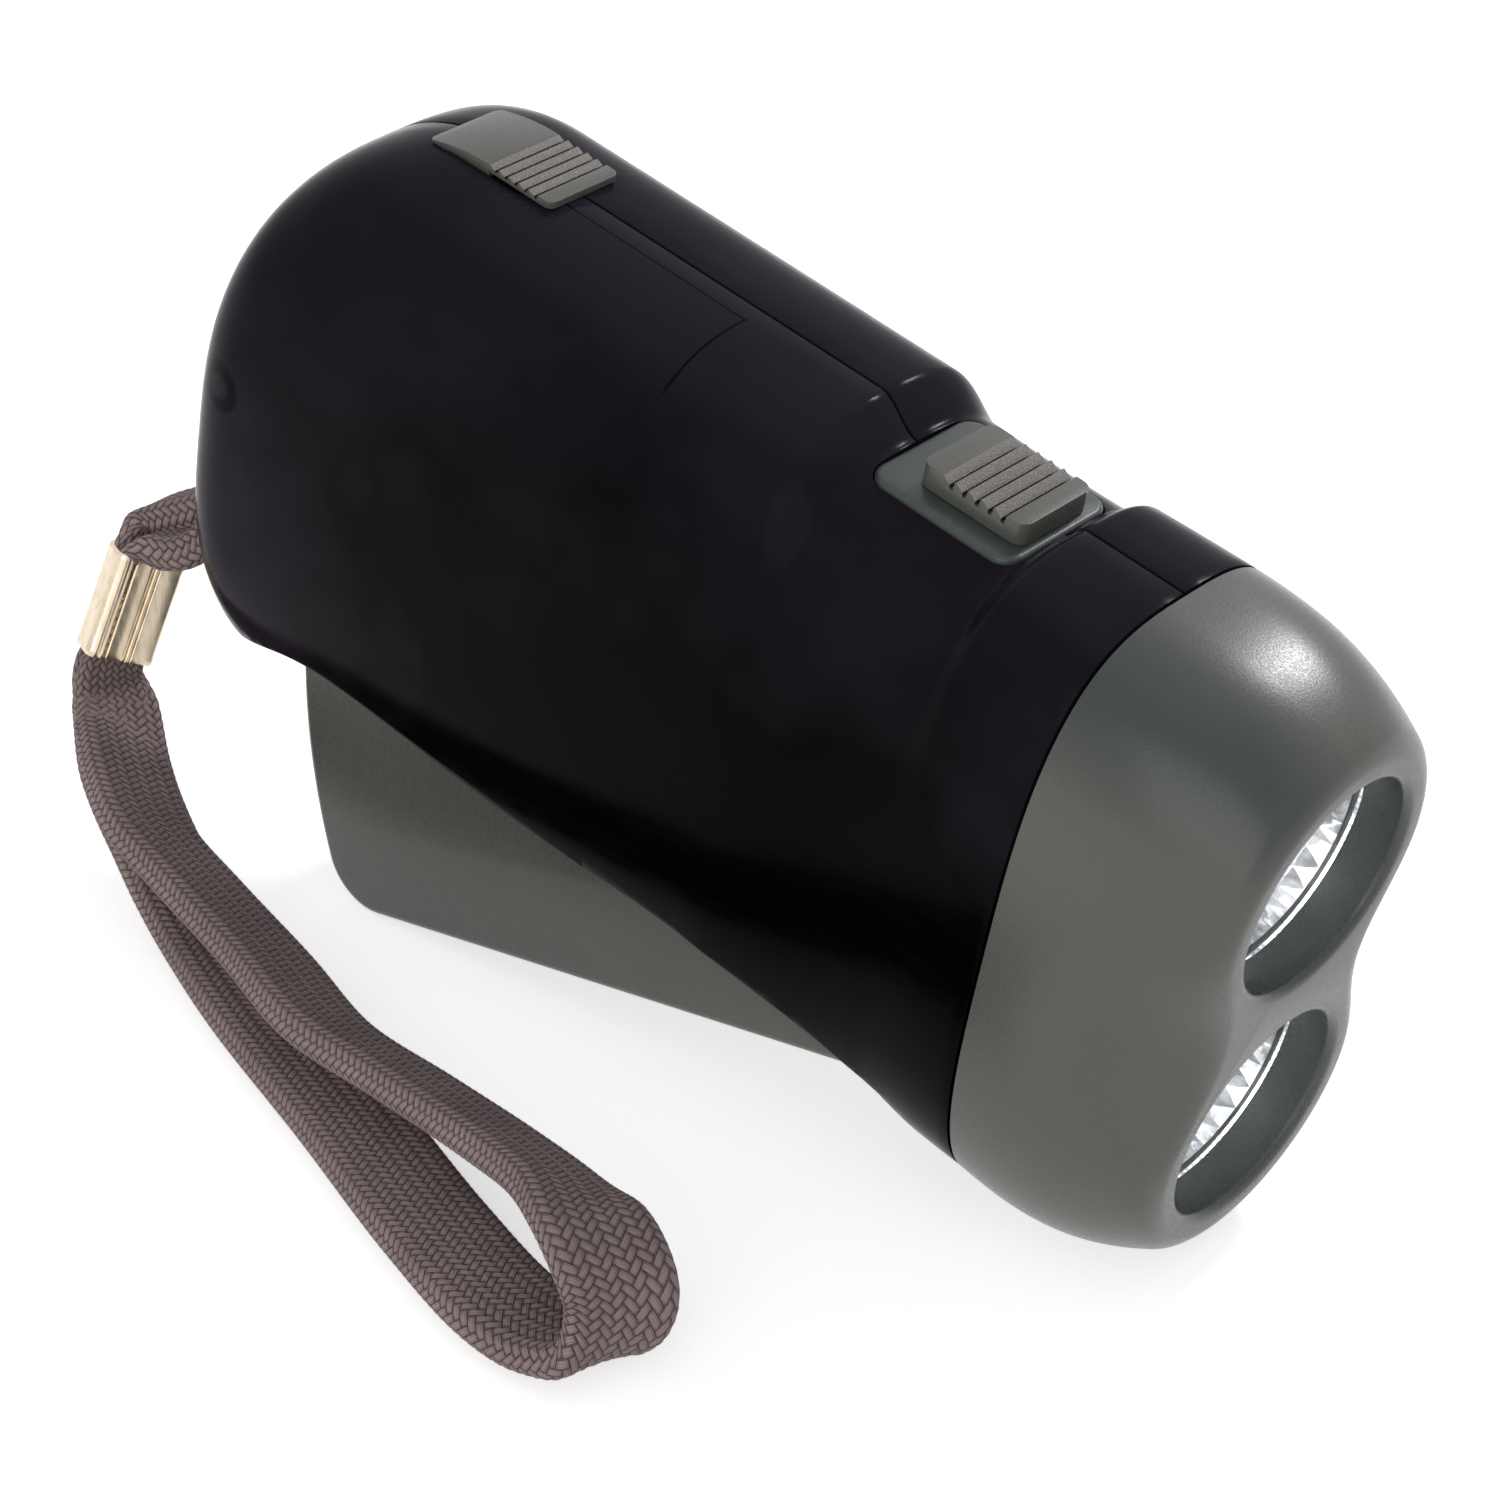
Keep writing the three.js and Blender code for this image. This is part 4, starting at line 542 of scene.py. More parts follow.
def case_skin(name, inset, front, sizes):
    """The case's outer or inner skin, with its rings close together where the form turns."""
    rear = -sizes.length * 1000 + inset
    turn = np.linspace(0, np.pi / 2, 30)[:-1]
    x = np.concatenate([
        rear + (REAR_TOP[0] - inset) * (1 - np.cos(turn)),
        np.linspace(-sizes.length * 1000 + REAR_TOP[0], DECK_FRONT, 26)[:-1],
        np.linspace(DECK_FRONT, SADDLE_REAR, 18)[:-1],
        np.linspace(SADDLE_REAR, SADDLE_FRONT, 10)[:-1],
        np.linspace(SADDLE_FRONT, COLLAR_REAR, 12)[:-1],
        np.linspace(COLLAR_REAR, front, 8),
    ])
    return skin(name, stand(case_rings(x, inset, sizes)))


def head_rings(x, inset, sizes):
    """Sections that blend, by a power of x, from the case's squared oval to the outline round the bores,
    with a slight belly below."""
    span = sizes.length * 1000
    blend = np.clip(x / span, 0, None) ** HEAD_POWER
    belly = HEAD_BELLY * np.sin(np.pi * np.clip(x / span, 0, 1))
    rows = []
    for step, cut in enumerate(inset):
        oval = whole(unit_quarter() * (SECTION - cut))
        lobes = whole(lobe_quarter(LOBE_RADIUS - cut))
        row = oval * (1 - blend[step]) + lobes * blend[step]
        row[:, 1] += np.where(row[:, 1] < 0, belly[step] * oval[:, 1] / SECTION[1], 0)
        rows.append(np.insert(row, 0, x[step], axis=1))
    return np.array(rows)


# materials


class Nodes:
    """Shader nodes in a tree, added and joined by short calls."""

    def __init__(self, tree):
        self.tree = tree

    def add(self, kind, **settings):
        node = self.tree.nodes.new(kind)
        for setting, value in settings.items():
            setattr(node, setting, value)
        return node

    def put(self, value, target):
        """Joins a link to an input, or sets the input to a number."""
        if isinstance(value, bpy.types.NodeSocket):
            self.tree.links.new(value, target)
        else:
            target.default_value = value

    def feed(self, node, *values, **inputs):
        """Fills a node's first inputs in order and others by name; an underscore stands for a space in a
        name."""
        for index, value in enumerate(values):
            self.put(value, node.inputs[index])
        for name, value in inputs.items():
            self.put(value, node.inputs[name.replace("_", " ")])
        return node

    def math(self, operation, first, second=0.0, clamp=False):
        node = self.add("ShaderNodeMath", operation=operation, use_clamp=clamp)
        return self.feed(node, first, second).outputs[0]

    def product(self, first, *others):
        for other in others:
            first = self.math("MULTIPLY", first, other)
        return first

    def total(self, first, *others):
        for other in others:
            first = self.math("ADD", first, other)
        return first

    def less(self, first, second):
        return self.math("SUBTRACT", first, second)

    def radius(self, first, second):
        """The length of a vector with two parts."""
        return self.math("SQRT", self.total(self.product(first, first), self.product(second, second)))

    def span(self, value, low, high, to_low=0.0, to_high=1.0):
        node = self.add("ShaderNodeMapRange", clamp=True)
        self.feed(node, Value=value, From_Min=low, From_Max=high, To_Min=to_low, To_Max=to_high)
        return node.outputs[0]

    def attribute(self, name):
        return self.add("ShaderNodeAttribute", attribute_name=name, attribute_type="GEOMETRY").outputs["Fac"]

    def parts(self, vector):
        return self.feed(self.add("ShaderNodeSeparateXYZ"), vector).outputs

    def directly_seen(self):
        """1 for camera rays and for rays that a gloss or a clear piece sends on."""
        path = self.add("ShaderNodeLightPath").outputs
        sent_on = self.math("MAXIMUM", path["Is Glossy Ray"], path["Is Transmission Ray"])
        return self.math("MAXIMUM", path["Is Camera Ray"], sent_on)


class Finish(Nodes):
    """A procedural material: a Principled shader and the nodes that feed it, on Object coordinates in
    metres."""

    def __init__(self, name, colour, roughness, **sockets):
        self.material = bpy.data.materials.new(name)
        self.material.use_nodes = True
        super().__init__(self.material.node_tree)
        self.shader = self.tree.nodes["Principled BSDF"]
        self.feed(self.shader, Base_Color=(*colour, 1), Roughness=roughness, **sockets)
        self.coordinates = self.add("ShaderNodeTexCoord").outputs["Object"]

    def noise(self, scale, detail=3.0, roughness=0.5, vector=None):
        node = self.add("ShaderNodeTexNoise")
        self.feed(node, Vector=vector or self.coordinates, Scale=scale, Detail=detail, Roughness=roughness)
        return node.outputs["Fac"]

    def placed(self, turn=0.0, scale=(1, 1, 1)):
        """Object coordinates turned about y and stretched."""
        node = self.add("ShaderNodeMapping", vector_type="POINT")
        return self.feed(node, Vector=self.coordinates, Scale=scale, Rotation=(0, turn, 0)).outputs[0]

    def own_place(self):
        """x, y and z in the flashlight's own frame, in metres: its place taken off, then the lean turned
        back."""
        off = self.add("ShaderNodeVectorMath", operation="SUBTRACT")
        self.feed(off, self.coordinates, PLACE / 1000)
        turn = self.add("ShaderNodeVectorRotate", rotation_type="Y_AXIS")
        return self.parts(self.feed(turn, Vector=off.outputs[0], Angle=-PITCH).outputs[0])

    def between(self, share, first, second, blend="MIX"):
        """A colour that goes from the first to the second with the share; each is a colour or a link."""
        node = self.add("ShaderNodeMix", data_type="RGBA", blend_type=blend)
        self.put(share, node.inputs[0])
        for value, target in ((first, node.inputs[6]), (second, node.inputs[7])):
            self.put(value if isinstance(value, bpy.types.NodeSocket) else (*value, 1), target)
        return node.outputs[2]

    def colour(self, share, first, second):
        self.feed(self.shader, Base_Color=self.between(share, first, second))

    def rough(self, value, low, high, to_low, to_high):
        self.feed(self.shader, Roughness=self.span(value, low, high, to_low, to_high))

    def patterned(self, pattern, first, second, dullness, distance, other=None):
        """Lets a pattern set the colour and the relief, and the roughness too where no other one does."""
        self.colour(self.span(pattern, 0.3, 0.7), first, second)
        self.rough(other or pattern, 0.3, 0.7, *dullness)
        self.bump(pattern, distance)

    def bump(self, height, distance):
        """Relief from a height of 0 to 1, distance in millimetres. Reliefs that follow add to it."""
        node = self.add("ShaderNodeBump")
        self.feed(node, Height=height, Distance=distance / 1000)
        if self.shader.inputs["Normal"].is_linked:
            self.put(self.shader.inputs["Normal"].links[0].from_socket, node.inputs["Normal"])
        self.feed(self.shader, Normal=node.outputs[0])


def toned(colour, factor):
    return tuple(min(1.0, c * factor) for c in colour)


def smoke_plastic(colours):
    """Dark see-through plastic: cloudy depth, painted light that makes it paler at the rear, the upper side and
    the top, a high polish and faint handling marks. The rings of a screw post and of the strap and lever pins, the
    lip's line and a rib's show darker through the side."""
    look = Finish("smoke_plastic", colours.smoke, 0.16, Specular_IOR_Level=0.027)
    x, y, z = look.own_place()
    drift = look.product(look.less(look.noise(48, 3.0, 0.55), 0.5), 0.05)
    # Painted light: paler towards the rear, the upper side and the top, where the lamps' light falls on the case
    rear = look.span(look.total(x, drift), -0.06, -0.082)
    upper = look.span(look.total(z, drift), 0.006, 0.022, 0.0, 0.5)
    top = look.span(z, 0.0215, 0.0262, 0.0, 0.72)
    share = look.math("MAXIMUM", look.math("MAXIMUM", rear, upper), top)
    share = look.product(share, look.span(look.noise(90, 3.0, 0.5), 0.3, 0.6, 0.75, 1.0))
    shows = 0.0
    for place_x, place_z in (SCREWS[0], POST[[0, 2]], PIVOT[[0, 2]]):
        far = look.radius(look.less(x, place_x / 1000), look.less(z, place_z / 1000))
        ring = look.product(look.span(far, 0.0025, 0.0021), look.span(far, 0.0009, 0.0013))
        shows = look.total(ring, shows)
    for (place, width, low, high, least), along, over in ((LIP_LINE, x, y), (RIB_LINE, y, x)):
        off = look.math("ABSOLUTE", look.less(over, place / 1000))
        shows = look.total(shows, look.product(
            look.span(off, width / 1000, width / 2000),
            look.span(z, least, least + 0.0005),
            look.span(along, low / 1000 - 0.0004, low / 1000),
            look.span(along, high / 1000 + 0.0004, high / 1000),
        ))
    share = look.math("MULTIPLY", share, look.less(1.0, look.product(shows, 0.85)), True)
    # From near black to the pale tone of the painted light, darker where the rings and lines show through
    look.colour(share, toned(colours.smoke, 0.05), toned(colours.smoke, 4.6))
    marks = look.noise(900, 4.0, 0.6, look.placed(PITCH, (0.25, 1, 1)))
    look.rough(marks, 0.3, 0.75, 0.12, 0.24)
    look.bump(look.noise(240, 1.0, 0.3), 0.012)
    return look.material


def grained_plastic(name, colour, roughness):
    """Satin plastic with a fine spark-eroded grain and slight tone changes, with painted shade in the bores and on
    the head's shoulder. Where the ridges' attribute is 1 it is rough and pale with painted light, as on the
    forward-facing slopes of the ridges, and where it is -1 dark with painted shade, as in the slits between them."""
    look = Finish(name, colour, roughness, IOR=1.46)
    x, y, z = look.own_place()
    # Painted shade: a darker patch on the head's shoulder and darker bores
    shoulder = look.span(look.radius(look.less(y, -0.0095), look.less(z, 0.0245)), 0.0025, 0.0085)
    from_bore = look.radius(y, look.less(look.math("ABSOLUTE", z), LOBE_Z / 1000))
    bore = look.product(look.span(from_bore, 0.0104, 0.0096), look.span(x, 0.0, 0.002))
    tone = look.span(look.noise(45, 2.0, 0.4), 0.3, 0.7)
    ridge_light_and_shade = look.attribute("ridge_light_and_shade")
    specks = look.noise(6500, 3.0, 0.7)
    # Painted light on the forward-facing slopes of the ridges, painted shade in the slits between them
    pale = look.math("MULTIPLY", ridge_light_and_shade, look.span(specks, 0.35, 0.6, 0.35, 1.0), True)
    slit = look.math("MULTIPLY", ridge_light_and_shade, -1.0, True)
    lit = look.math("ADD", shoulder, look.span(x, -0.001, -0.004), True)
    lit = look.product(lit, look.less(1.0, look.product(bore, 0.75)))
    plain = look.between(tone, toned(colour, 0.88), toned(colour, 1.1))
    ground = look.between(1.0, plain, look.between(lit, SHADED, (1, 1, 1)), "MULTIPLY")
    look.colour(pale, look.between(slit, ground, toned(colour, 0.22)), PAINTED_SLOPE_LIGHT)
    grain = look.noise(5200, 3.0, 0.65)
    look.rough(grain, 0.3, 0.7, roughness - 0.07, roughness + 0.09)
    look.bump(grain, 0.011)
    look.bump(look.product(specks, pale), 0.12)
    return look.material


def grey_plastic(colours):
    """The grained plastic of head, lever and sliders."""
    return grained_plastic("grey_plastic", colours.grey, 0.27)


def slate_plastic(colours):
    """The same grain in a green-grey tone, a little smoother."""
    return grained_plastic("slate_plastic", colours.slate, 0.34)


def lit_diode():
    """The clear body of a diode with the glow of its chip all through it."""
    look = Finish("lit_diode", (0.95, 0.97, 1.0), 0.15, Emission_Strength=6.0,
                  Emission_Color=(0.93, 0.97, 1.0, 1))
    look.patterned(look.noise(900, 2.0, 0.5), (0.85, 0.9, 0.95), (1, 1, 1), (0.1, 0.2), 0.01)
    return look.material


def moulded_nylon():
    """Milky moulded gear plastic with flow marks."""
    look = Finish("moulded_nylon", (0.72, 0.7, 0.63), 0.5, Subsurface_Weight=0.15, Subsurface_Scale=0.001)
    flow = look.noise(180, 3.0, 0.5, look.placed(0.6, (1, 1, 0.2)))
    look.colour(look.span(flow, 0.3, 0.7), (0.64, 0.62, 0.54), (0.76, 0.74, 0.68))
    look.rough(flow, 0.3, 0.7, 0.42, 0.58)
    look.bump(look.noise(2600, 2.0, 0.5), 0.01)
    return look.material


def plated_steel():
    """Bright plated steel, rolled along x, with fine draw lines and dulled patches."""
    look = Finish("plated_steel", (0.6, 0.6, 0.61), 0.3, Metallic=1.0)
    lines = look.noise(1800, 4.0, 0.6, look.placed(PITCH, (0.06, 1, 1)))
    dulled = look.noise(120, 3.0, 0.6)
    look.patterned(lines, (0.5, 0.5, 0.51), (0.68, 0.68, 0.69), (0.22, 0.4), 0.006, dulled)
    return look.material


def chrome_with_painted_glow():
    """Vacuum-plated mirror with the slightest ripple, and a painted glow in light and dark streaks standing in for
    its bright reflections.
    """
    look = Finish("chrome_with_painted_glow", (0.93, 0.93, 0.95), 0.05, Metallic=1.0, Emission_Strength=0.55)
    # Painted reflection: the glow's colour runs in light and dark streaks
    painted_reflection_streaks = look.span(look.noise(700, 3.0, 0.6, look.placed(PITCH, (0.15, 1, 1))), 0.4, 0.6)
    look.feed(look.shader, Emission_Color=look.between(painted_reflection_streaks, (0.12, 0.13, 0.16), (1, 1, 1)))
    look.patterned(look.noise(420, 2.0, 0.5), (0.9, 0.9, 0.92), (0.97, 0.97, 0.99), (0.03, 0.09), 0.02)
    return look.material


def clear_plastic():
    """Water-clear moulded plastic with a faint ripple."""
    look = Finish("clear_plastic", (0.97, 0.98, 0.99), 0.03, Transmission_Weight=1.0, IOR=1.46)
    ripple = look.noise(300, 2.0, 0.5)
    look.rough(ripple, 0.3, 0.7, 0.02, 0.06)
    look.bump(ripple, 0.01)
    return look.material


def wound_copper():
    """Enamelled copper wire in close turns round the coil."""
    look = Finish("wound_copper", (0.5, 0.2, 0.09), 0.35, Metallic=0.8)
    wave = look.add("ShaderNodeTexWave", wave_type="BANDS", bands_direction="Z")
    look.feed(wave, Vector=look.placed(-PITCH), Scale=700.0, Distortion=0.3, Detail=1.0)
    look.colour(wave.outputs["Fac"], (0.26, 0.08, 0.03), (0.62, 0.27, 0.12))
    look.rough(wave.outputs["Fac"], 0, 1, 0.5, 0.28)
    look.bump(wave.outputs["Fac"], 0.05)
    return look.material


def printed_board():
    """Green printed board with darker copper tracks under the lacquer."""
    look = Finish("printed_board", (0.03, 0.12, 0.06), 0.35)
    bricks = look.add("ShaderNodeTexBrick", offset=0.5)
    look.feed(bricks, Vector=look.placed(-PITCH), Scale=260.0, Mortar_Size=0.03, Mortar_Smooth=0.2)
    look.colour(look.span(bricks.outputs["Fac"], 0, 1), (0.028, 0.11, 0.05), (0.06, 0.2, 0.09))
    look.rough(look.noise(700, 3.0, 0.5), 0.3, 0.7, 0.28, 0.46)
    look.bump(bricks.outputs["Fac"], 0.03)
    return look.material


def dark_ferrite():
    """Pressed dark magnet and diode bodies, slightly speckled."""
    look = Finish("dark_ferrite", (0.035, 0.034, 0.032), 0.62)
    speck = look.noise(3800, 2.0, 0.7)
    look.colour(look.span(speck, 0.4, 0.7), (0.028, 0.027, 0.026), (0.07, 0.068, 0.065))
    look.rough(speck, 0.3, 0.7, 0.5, 0.75)
    look.bump(speck, 0.02)
    return look.material


def polished_nickel(colours):
    """Warm polished nickel on a rolled sheet, with fine lengthwise drawing marks."""
    look = Finish("polished_nickel", colours.nickel, 0.2, Metallic=1.0)
    marks = look.noise(1500, 4.0, 0.6, look.placed(0.0, (1, 1, 0.12)))
    dark, pale = toned(colours.nickel, 0.8), toned(colours.nickel, 1.1)
    look.patterned(marks, dark, pale, (0.14, 0.3), 0.01, look.noise(400, 3.0, 0.6))
    return look.material


def braided_yarn(colours):
    """Plaits on the strap's own map, laid out as braid_surface says. Fibres run along the yarn that lies on
    top, with painted shade where the plaits dip and between the fibres, and painted light makes the strap's edges
    paler."""
    look = Finish("braided_yarn", colours.braid, 0.85, Sheen_Weight=0.3, Sheen_Roughness=0.5,
                  Sheen_Tint=(0.9, 0.78, 0.78, 1))
    u, v, _ = look.parts(look.add("ShaderNodeUVMap", uv_map="plait").outputs[0])
    a, b = look.total(u, v), look.less(u, v)
    place = look.math("FLOORED_MODULO", look.total(look.math("FLOOR", a), look.math("FLOOR", b)), 4.0)
    other_on_top = look.math("GREATER_THAN", place, 1.5)

    def choose(first, second):
        node = look.feed(look.add("ShaderNodeMix", data_type="FLOAT"), other_on_top)
        look.put(first, node.inputs[2])
        look.put(second, node.inputs[3])
        return look.math("FRACT", node.outputs[0])

    def hump(value, power):
        wave = look.math("SINE", look.product(value, math.pi))
        return look.math("POWER", look.math("ABSOLUTE", wave), power)

    across = choose(b, a)
    along = look.product(look.total(choose(a, b), look.math("FLOORED_MODULO", place, 2.0)), 0.5)
    plait = look.product(hump(across, 0.35), hump(along, 0.4))
    fibres = look.span(look.math("SINE", look.product(across, 2 * math.pi * 4)), -1, 1)
    fuzz = look.noise(7000, 3.0, 0.7)
    fluff = look.product(look.span(fuzz, 0.35, 0.75), 0.35)
    # Painted light along both edges of the strap, with random paler fluff
    edge_lit_and_fluffed = look.total(look.product(look.attribute("edge"), 0.4), fluff)
    patches = look.product(look.span(look.noise(160, 2.0, 0.5), 0.35, 0.7), 0.3)
    tone = look.between(look.math("ADD", edge_lit_and_fluffed, patches, True), colours.braid, colours.braid_edge_light)
    # Painted shade: darker where the plaits dip and between the fibres
    depth = look.span(look.product(plait, look.span(fibres, 0, 1, 0.78, 1.0)), 0.22, 0.66)
    look.feed(look.shader, Base_Color=look.between(
        1.0, tone, look.between(depth, (0.3, 0.26, 0.29), (1.08, 1.08, 1.08)), "MULTIPLY"))
    look.rough(fuzz, 0.3, 0.7, 0.75, 0.95)
    look.bump(plait, 0.4)
    look.bump(fibres, 0.045)
    look.bump(fuzz, 0.06)
    return look.material


MATERIALS = {}


def material(name):
    """The named finish, made once."""
    if name not in MATERIALS:
        coloured = {
            "smoke_case": smoke_plastic, "grey_shell": grey_plastic, "slate_trim": slate_plastic,
            "nickel": polished_nickel, "braid": braided_yarn,
        }
        plain = {
            "nylon": moulded_nylon, "steel": plated_steel, "bright_reflector": chrome_with_painted_glow,
            "clear_lens": clear_plastic, "copper_wire": wound_copper, "board_green": printed_board,
            "dark_ferrite": dark_ferrite, "lit_diode": lit_diode,
        }
        colours = bpy.context.scene.flashlight_colours
        MATERIALS[name] = coloured[name](colours) if name in coloured else plain[name]()
    return MATERIALS[name]


# strap and crimp


def unit(v):
    return v / np.linalg.norm(v, axis=-1, keepdims=True)


CRIMP_AXIS = unit(CRIMP_TOP - CRIMP_BOTTOM)
CRIMP_ACROSS = unit(CRIMP_SIDE - CRIMP_AXIS * (CRIMP_SIDE @ CRIMP_AXIS))
CRIMP_BACK = np.cross(CRIMP_AXIS, CRIMP_ACROSS)


def strap_route():
    """Points, width directions and section shares of the whole strap: round the post, down through the
    crimp, round the loop, up through the crimp and back to the post. Millimetres where the flashlight
    stands."""
    rear = -bpy.context.scene.flashlight_case.length * 1000
    upright = np.array([0, 1, 0])

    def round_post(degrees):
        angle = math.radians(degrees)
        return standing(POST + POST_TURN * np.array([math.cos(angle), 0, math.sin(angle)])), upright, BUNCHED

    def in_crimp(strand, place, out, section):
        return place + CRIMP_BACK * strand * STRAND_SPACING / 2 + CRIMP_AXIS * out, CRIMP_ACROSS, section

    downwards = [
        (CRIMP_TOP, 0, SQUEEZED), ((CRIMP_TOP + CRIMP_BOTTOM) / 2, 0, PRESSED),
        (CRIMP_BOTTOM, 0, PRESSED), (CRIMP_BOTTOM, -STRAND_LEAD, SQUEEZED),
    ]
    stops = [round_post(degrees) for degrees in (4, 30, 60, 90)]
    stops.append((standing([rear, 0, POST[2] + POST_TURN]), upright, BUNCHED))
    stops += [(place * STRAP_REACH, upright, BUNCHED) for place in OUTER_NECK]
    stops += [in_crimp(1, *stop) for stop in downwards]
    last = len(LOOP_SHARES) - 1
    for i in range(last, -1, -1):
        side = LEANING if i <= LEANING_STOPS else LYING if i <= LYING_STOPS else CRIMP_ACROSS
        stops.append((LOOP_SHARES[i] * STRAP_REACH, side, EASED if i in (0, last) else OPEN))
    stops += [in_crimp(-1, *stop) for stop in downwards[::-1]]
    stops += [(place * STRAP_REACH, upright, BUNCHED) for place in INNER_NECK]
    stops.append((standing([rear, 0, POST[2] - POST_TURN]), upright, BUNCHED))
    stops += [round_post(degrees) for degrees in (-90, -60, -30, -4)]
    return [np.array([stop[k] for stop in stops], float) for k in range(3)]


def eased(values, window):
    """A weighted running mean over a number of steps, with the ends kept in place."""
    weights = np.hanning(window | 1)
    weights /= weights.sum()
    wide = np.pad(values, len(weights) // 2, mode="reflect", reflect_type="odd")
    return np.convolve(wide, weights, mode="valid")


def strap_line(step):
    """The strap's middle line in equal steps of length, with its width and thickness directions and its
    section, each a running mean."""
    points, sides, sections = strap_route()
    fine, place = spline(points, 40)
    run = np.concatenate([[0], np.cumsum(np.linalg.norm(np.diff(fine, axis=0), axis=1))])
    s = np.linspace(0, run[-1], int(run[-1] / step) + 1)
    at = np.interp(s, run, place)

    def followed(places, knots, values, mean):
        columns = [eased(np.interp(places, knots, column), int(mean / step)) for column in values.T]
        return np.stack(columns, axis=-1)

    knots = np.arange(len(points))
    line = followed(s, run, fine, LINE_MEAN)
    side = followed(at, knots, sides, SIDE_MEAN)
    section = followed(at, knots, sections, SECTION_MEAN)
    tangent = unit(np.gradient(line, axis=0))
    side = unit(side - tangent * np.sum(side * tangent, axis=1, keepdims=True))
    return line, side, np.cross(tangent, side), section


def flat_section(count):
    """Points at equal distances round a flattened tube: a rectangle whose short sides are half circles, of
    half width 1 and of half thickness 1 after each direction is divided by its own half size."""
    half, round_end = STRAP_SECTION
    straight, bend = 2 * (half - round_end), math.pi * round_end
    run = np.arange(count) / count * 2 * (straight + bend)
    leg = run % (straight + bend)
    past = leg - straight / 2
    turn = np.clip(past, 0, bend) / round_end
    after = np.where(past < bend, round_end * np.sin(turn), bend - past)
    x = np.where(past < 0, leg, straight / 2 + after)
    sign = np.where(run < straight + bend, 1, -1)
    return np.stack([sign * x / half, sign * np.cos(turn)], axis=-1)


def braid_surface(sizes):
    """The strap as the skin of a flattened tube of braid. With u columns of plaits round the tube and v
    plaits along it, yarns run along whole a = u + v and whole b = u - v. With m = (floor(a) + floor(b)) mod
    4, the yarn along a lies on top where m is 0 or 1 and the one along b elsewhere, each over two
    crossings. With c from 0 to 1 across that yarn and d from 0 to 1 along it, it stands out by sin(pi
    c)^0.35 sin(pi d)^0.4. Where the skin would sink into the ground the strap is lifted. Returns the skin's
    rings, how near each point is to an edge, each face corner's u and v, and the middle line."""
    pitch = sizes.pitch * 1000
    around_samples, along_samples = PLAIT_SAMPLES
    line, side, normal, section = strap_line(pitch / along_samples)
    count = sizes.yarns * around_samples
    around = flat_section(count)
    half = sizes.width * 500 * section[:, 0] - PLAIT_RELIEF
    deep = sizes.thickness * 500 * section[:, 1] - PLAIT_RELIEF
    u = np.arange(count)[None, :] / around_samples
    v = np.arange(len(line))[:, None] / along_samples
    a, b = u + v, u - v
    m = (np.floor(a) + np.floor(b)) % 4
    across_yarn = np.where(m < 2, b, a) % 1
    along_yarn = (np.where(m < 2, a, b) % 1 + m % 2) / 2
    bulge = np.sin(np.pi * across_yarn) ** 0.35 * np.sin(np.pi * along_yarn) ** 0.4 * PLAIT_RELIEF
    out = unit(np.stack([around[:, 0] * np.abs(around[:, 0]) ** 3, around[:, 1]], axis=-1))
    across = half[:, None] * around[:, 0] + bulge * out[:, 0]
    through = deep[:, None] * around[:, 1] + bulge * out[:, 1]
    rings = line[:, None] + side[:, None] * across[..., None] + normal[:, None] * through[..., None]
    sunk = np.maximum(GROUND_GAP - rings[..., 2].min(axis=1), 0)
    reach = int(LIFT_REACH * along_samples / pitch)
    windows = np.lib.stride_tricks.sliding_window_view(np.pad(sunk, reach, mode="edge"), 2 * reach + 1)
    lift = eased(windows.max(axis=1), 2 * reach)
    rings[..., 2] += lift[:, None]
    line[:, 2] += lift
    # How near each point is to an edge, for the painted light on the strap's edges
    edge_light_mask = np.broadcast_to(np.clip((np.abs(around[:, 0]) - 0.8) / 0.2, 0, 1), (len(line), count))
    i, j = np.divmod(np.arange((len(line) - 1) * count), count)
    corners = [np.stack([(j + right) / around_samples, (i + on) / along_samples], axis=-1)
               for on, right in ((0, 0), (0, 1), (1, 1), (1, 0))]
    return rings / 1000, edge_light_mask.ravel(), np.stack(corners, axis=1).reshape(-1, 2), line / 1000


class FLASHLIGHT_OT_strap(bpy.types.Operator):
    """Lay the braided wrist strap from the post through its crimp and round its loop"""

    bl_idname = "flashlight.strap"
    bl_label = "Wrist strap"

    def execute(self, context):
        sizes = context.scene.flashlight_strap
        rings, edge_light_mask, maps, line = braid_surface(sizes)
        mesh = bpy.data.meshes.new("strap_braid")
        mesh.from_pydata(rings.reshape(-1, 3).tolist(), [], capped_faces(*rings.shape[:2]))
        maps = np.concatenate([maps, np.zeros((2 * rings.shape[1], 2))]).astype(np.float32)
        mesh.uv_layers.new(name="plait").data.foreach_set("uv", maps.ravel())
        mesh.attributes.new("edge", "FLOAT", "POINT").data.foreach_set("value", edge_light_mask.astype(np.float32))
        reworked(mesh)
        strap = linked("strap_braid", mesh)
        finish(strap, material("braid"), "case", "braid", "strap_loop", "strap_neck", smooth=180)
        return {"FINISHED"}


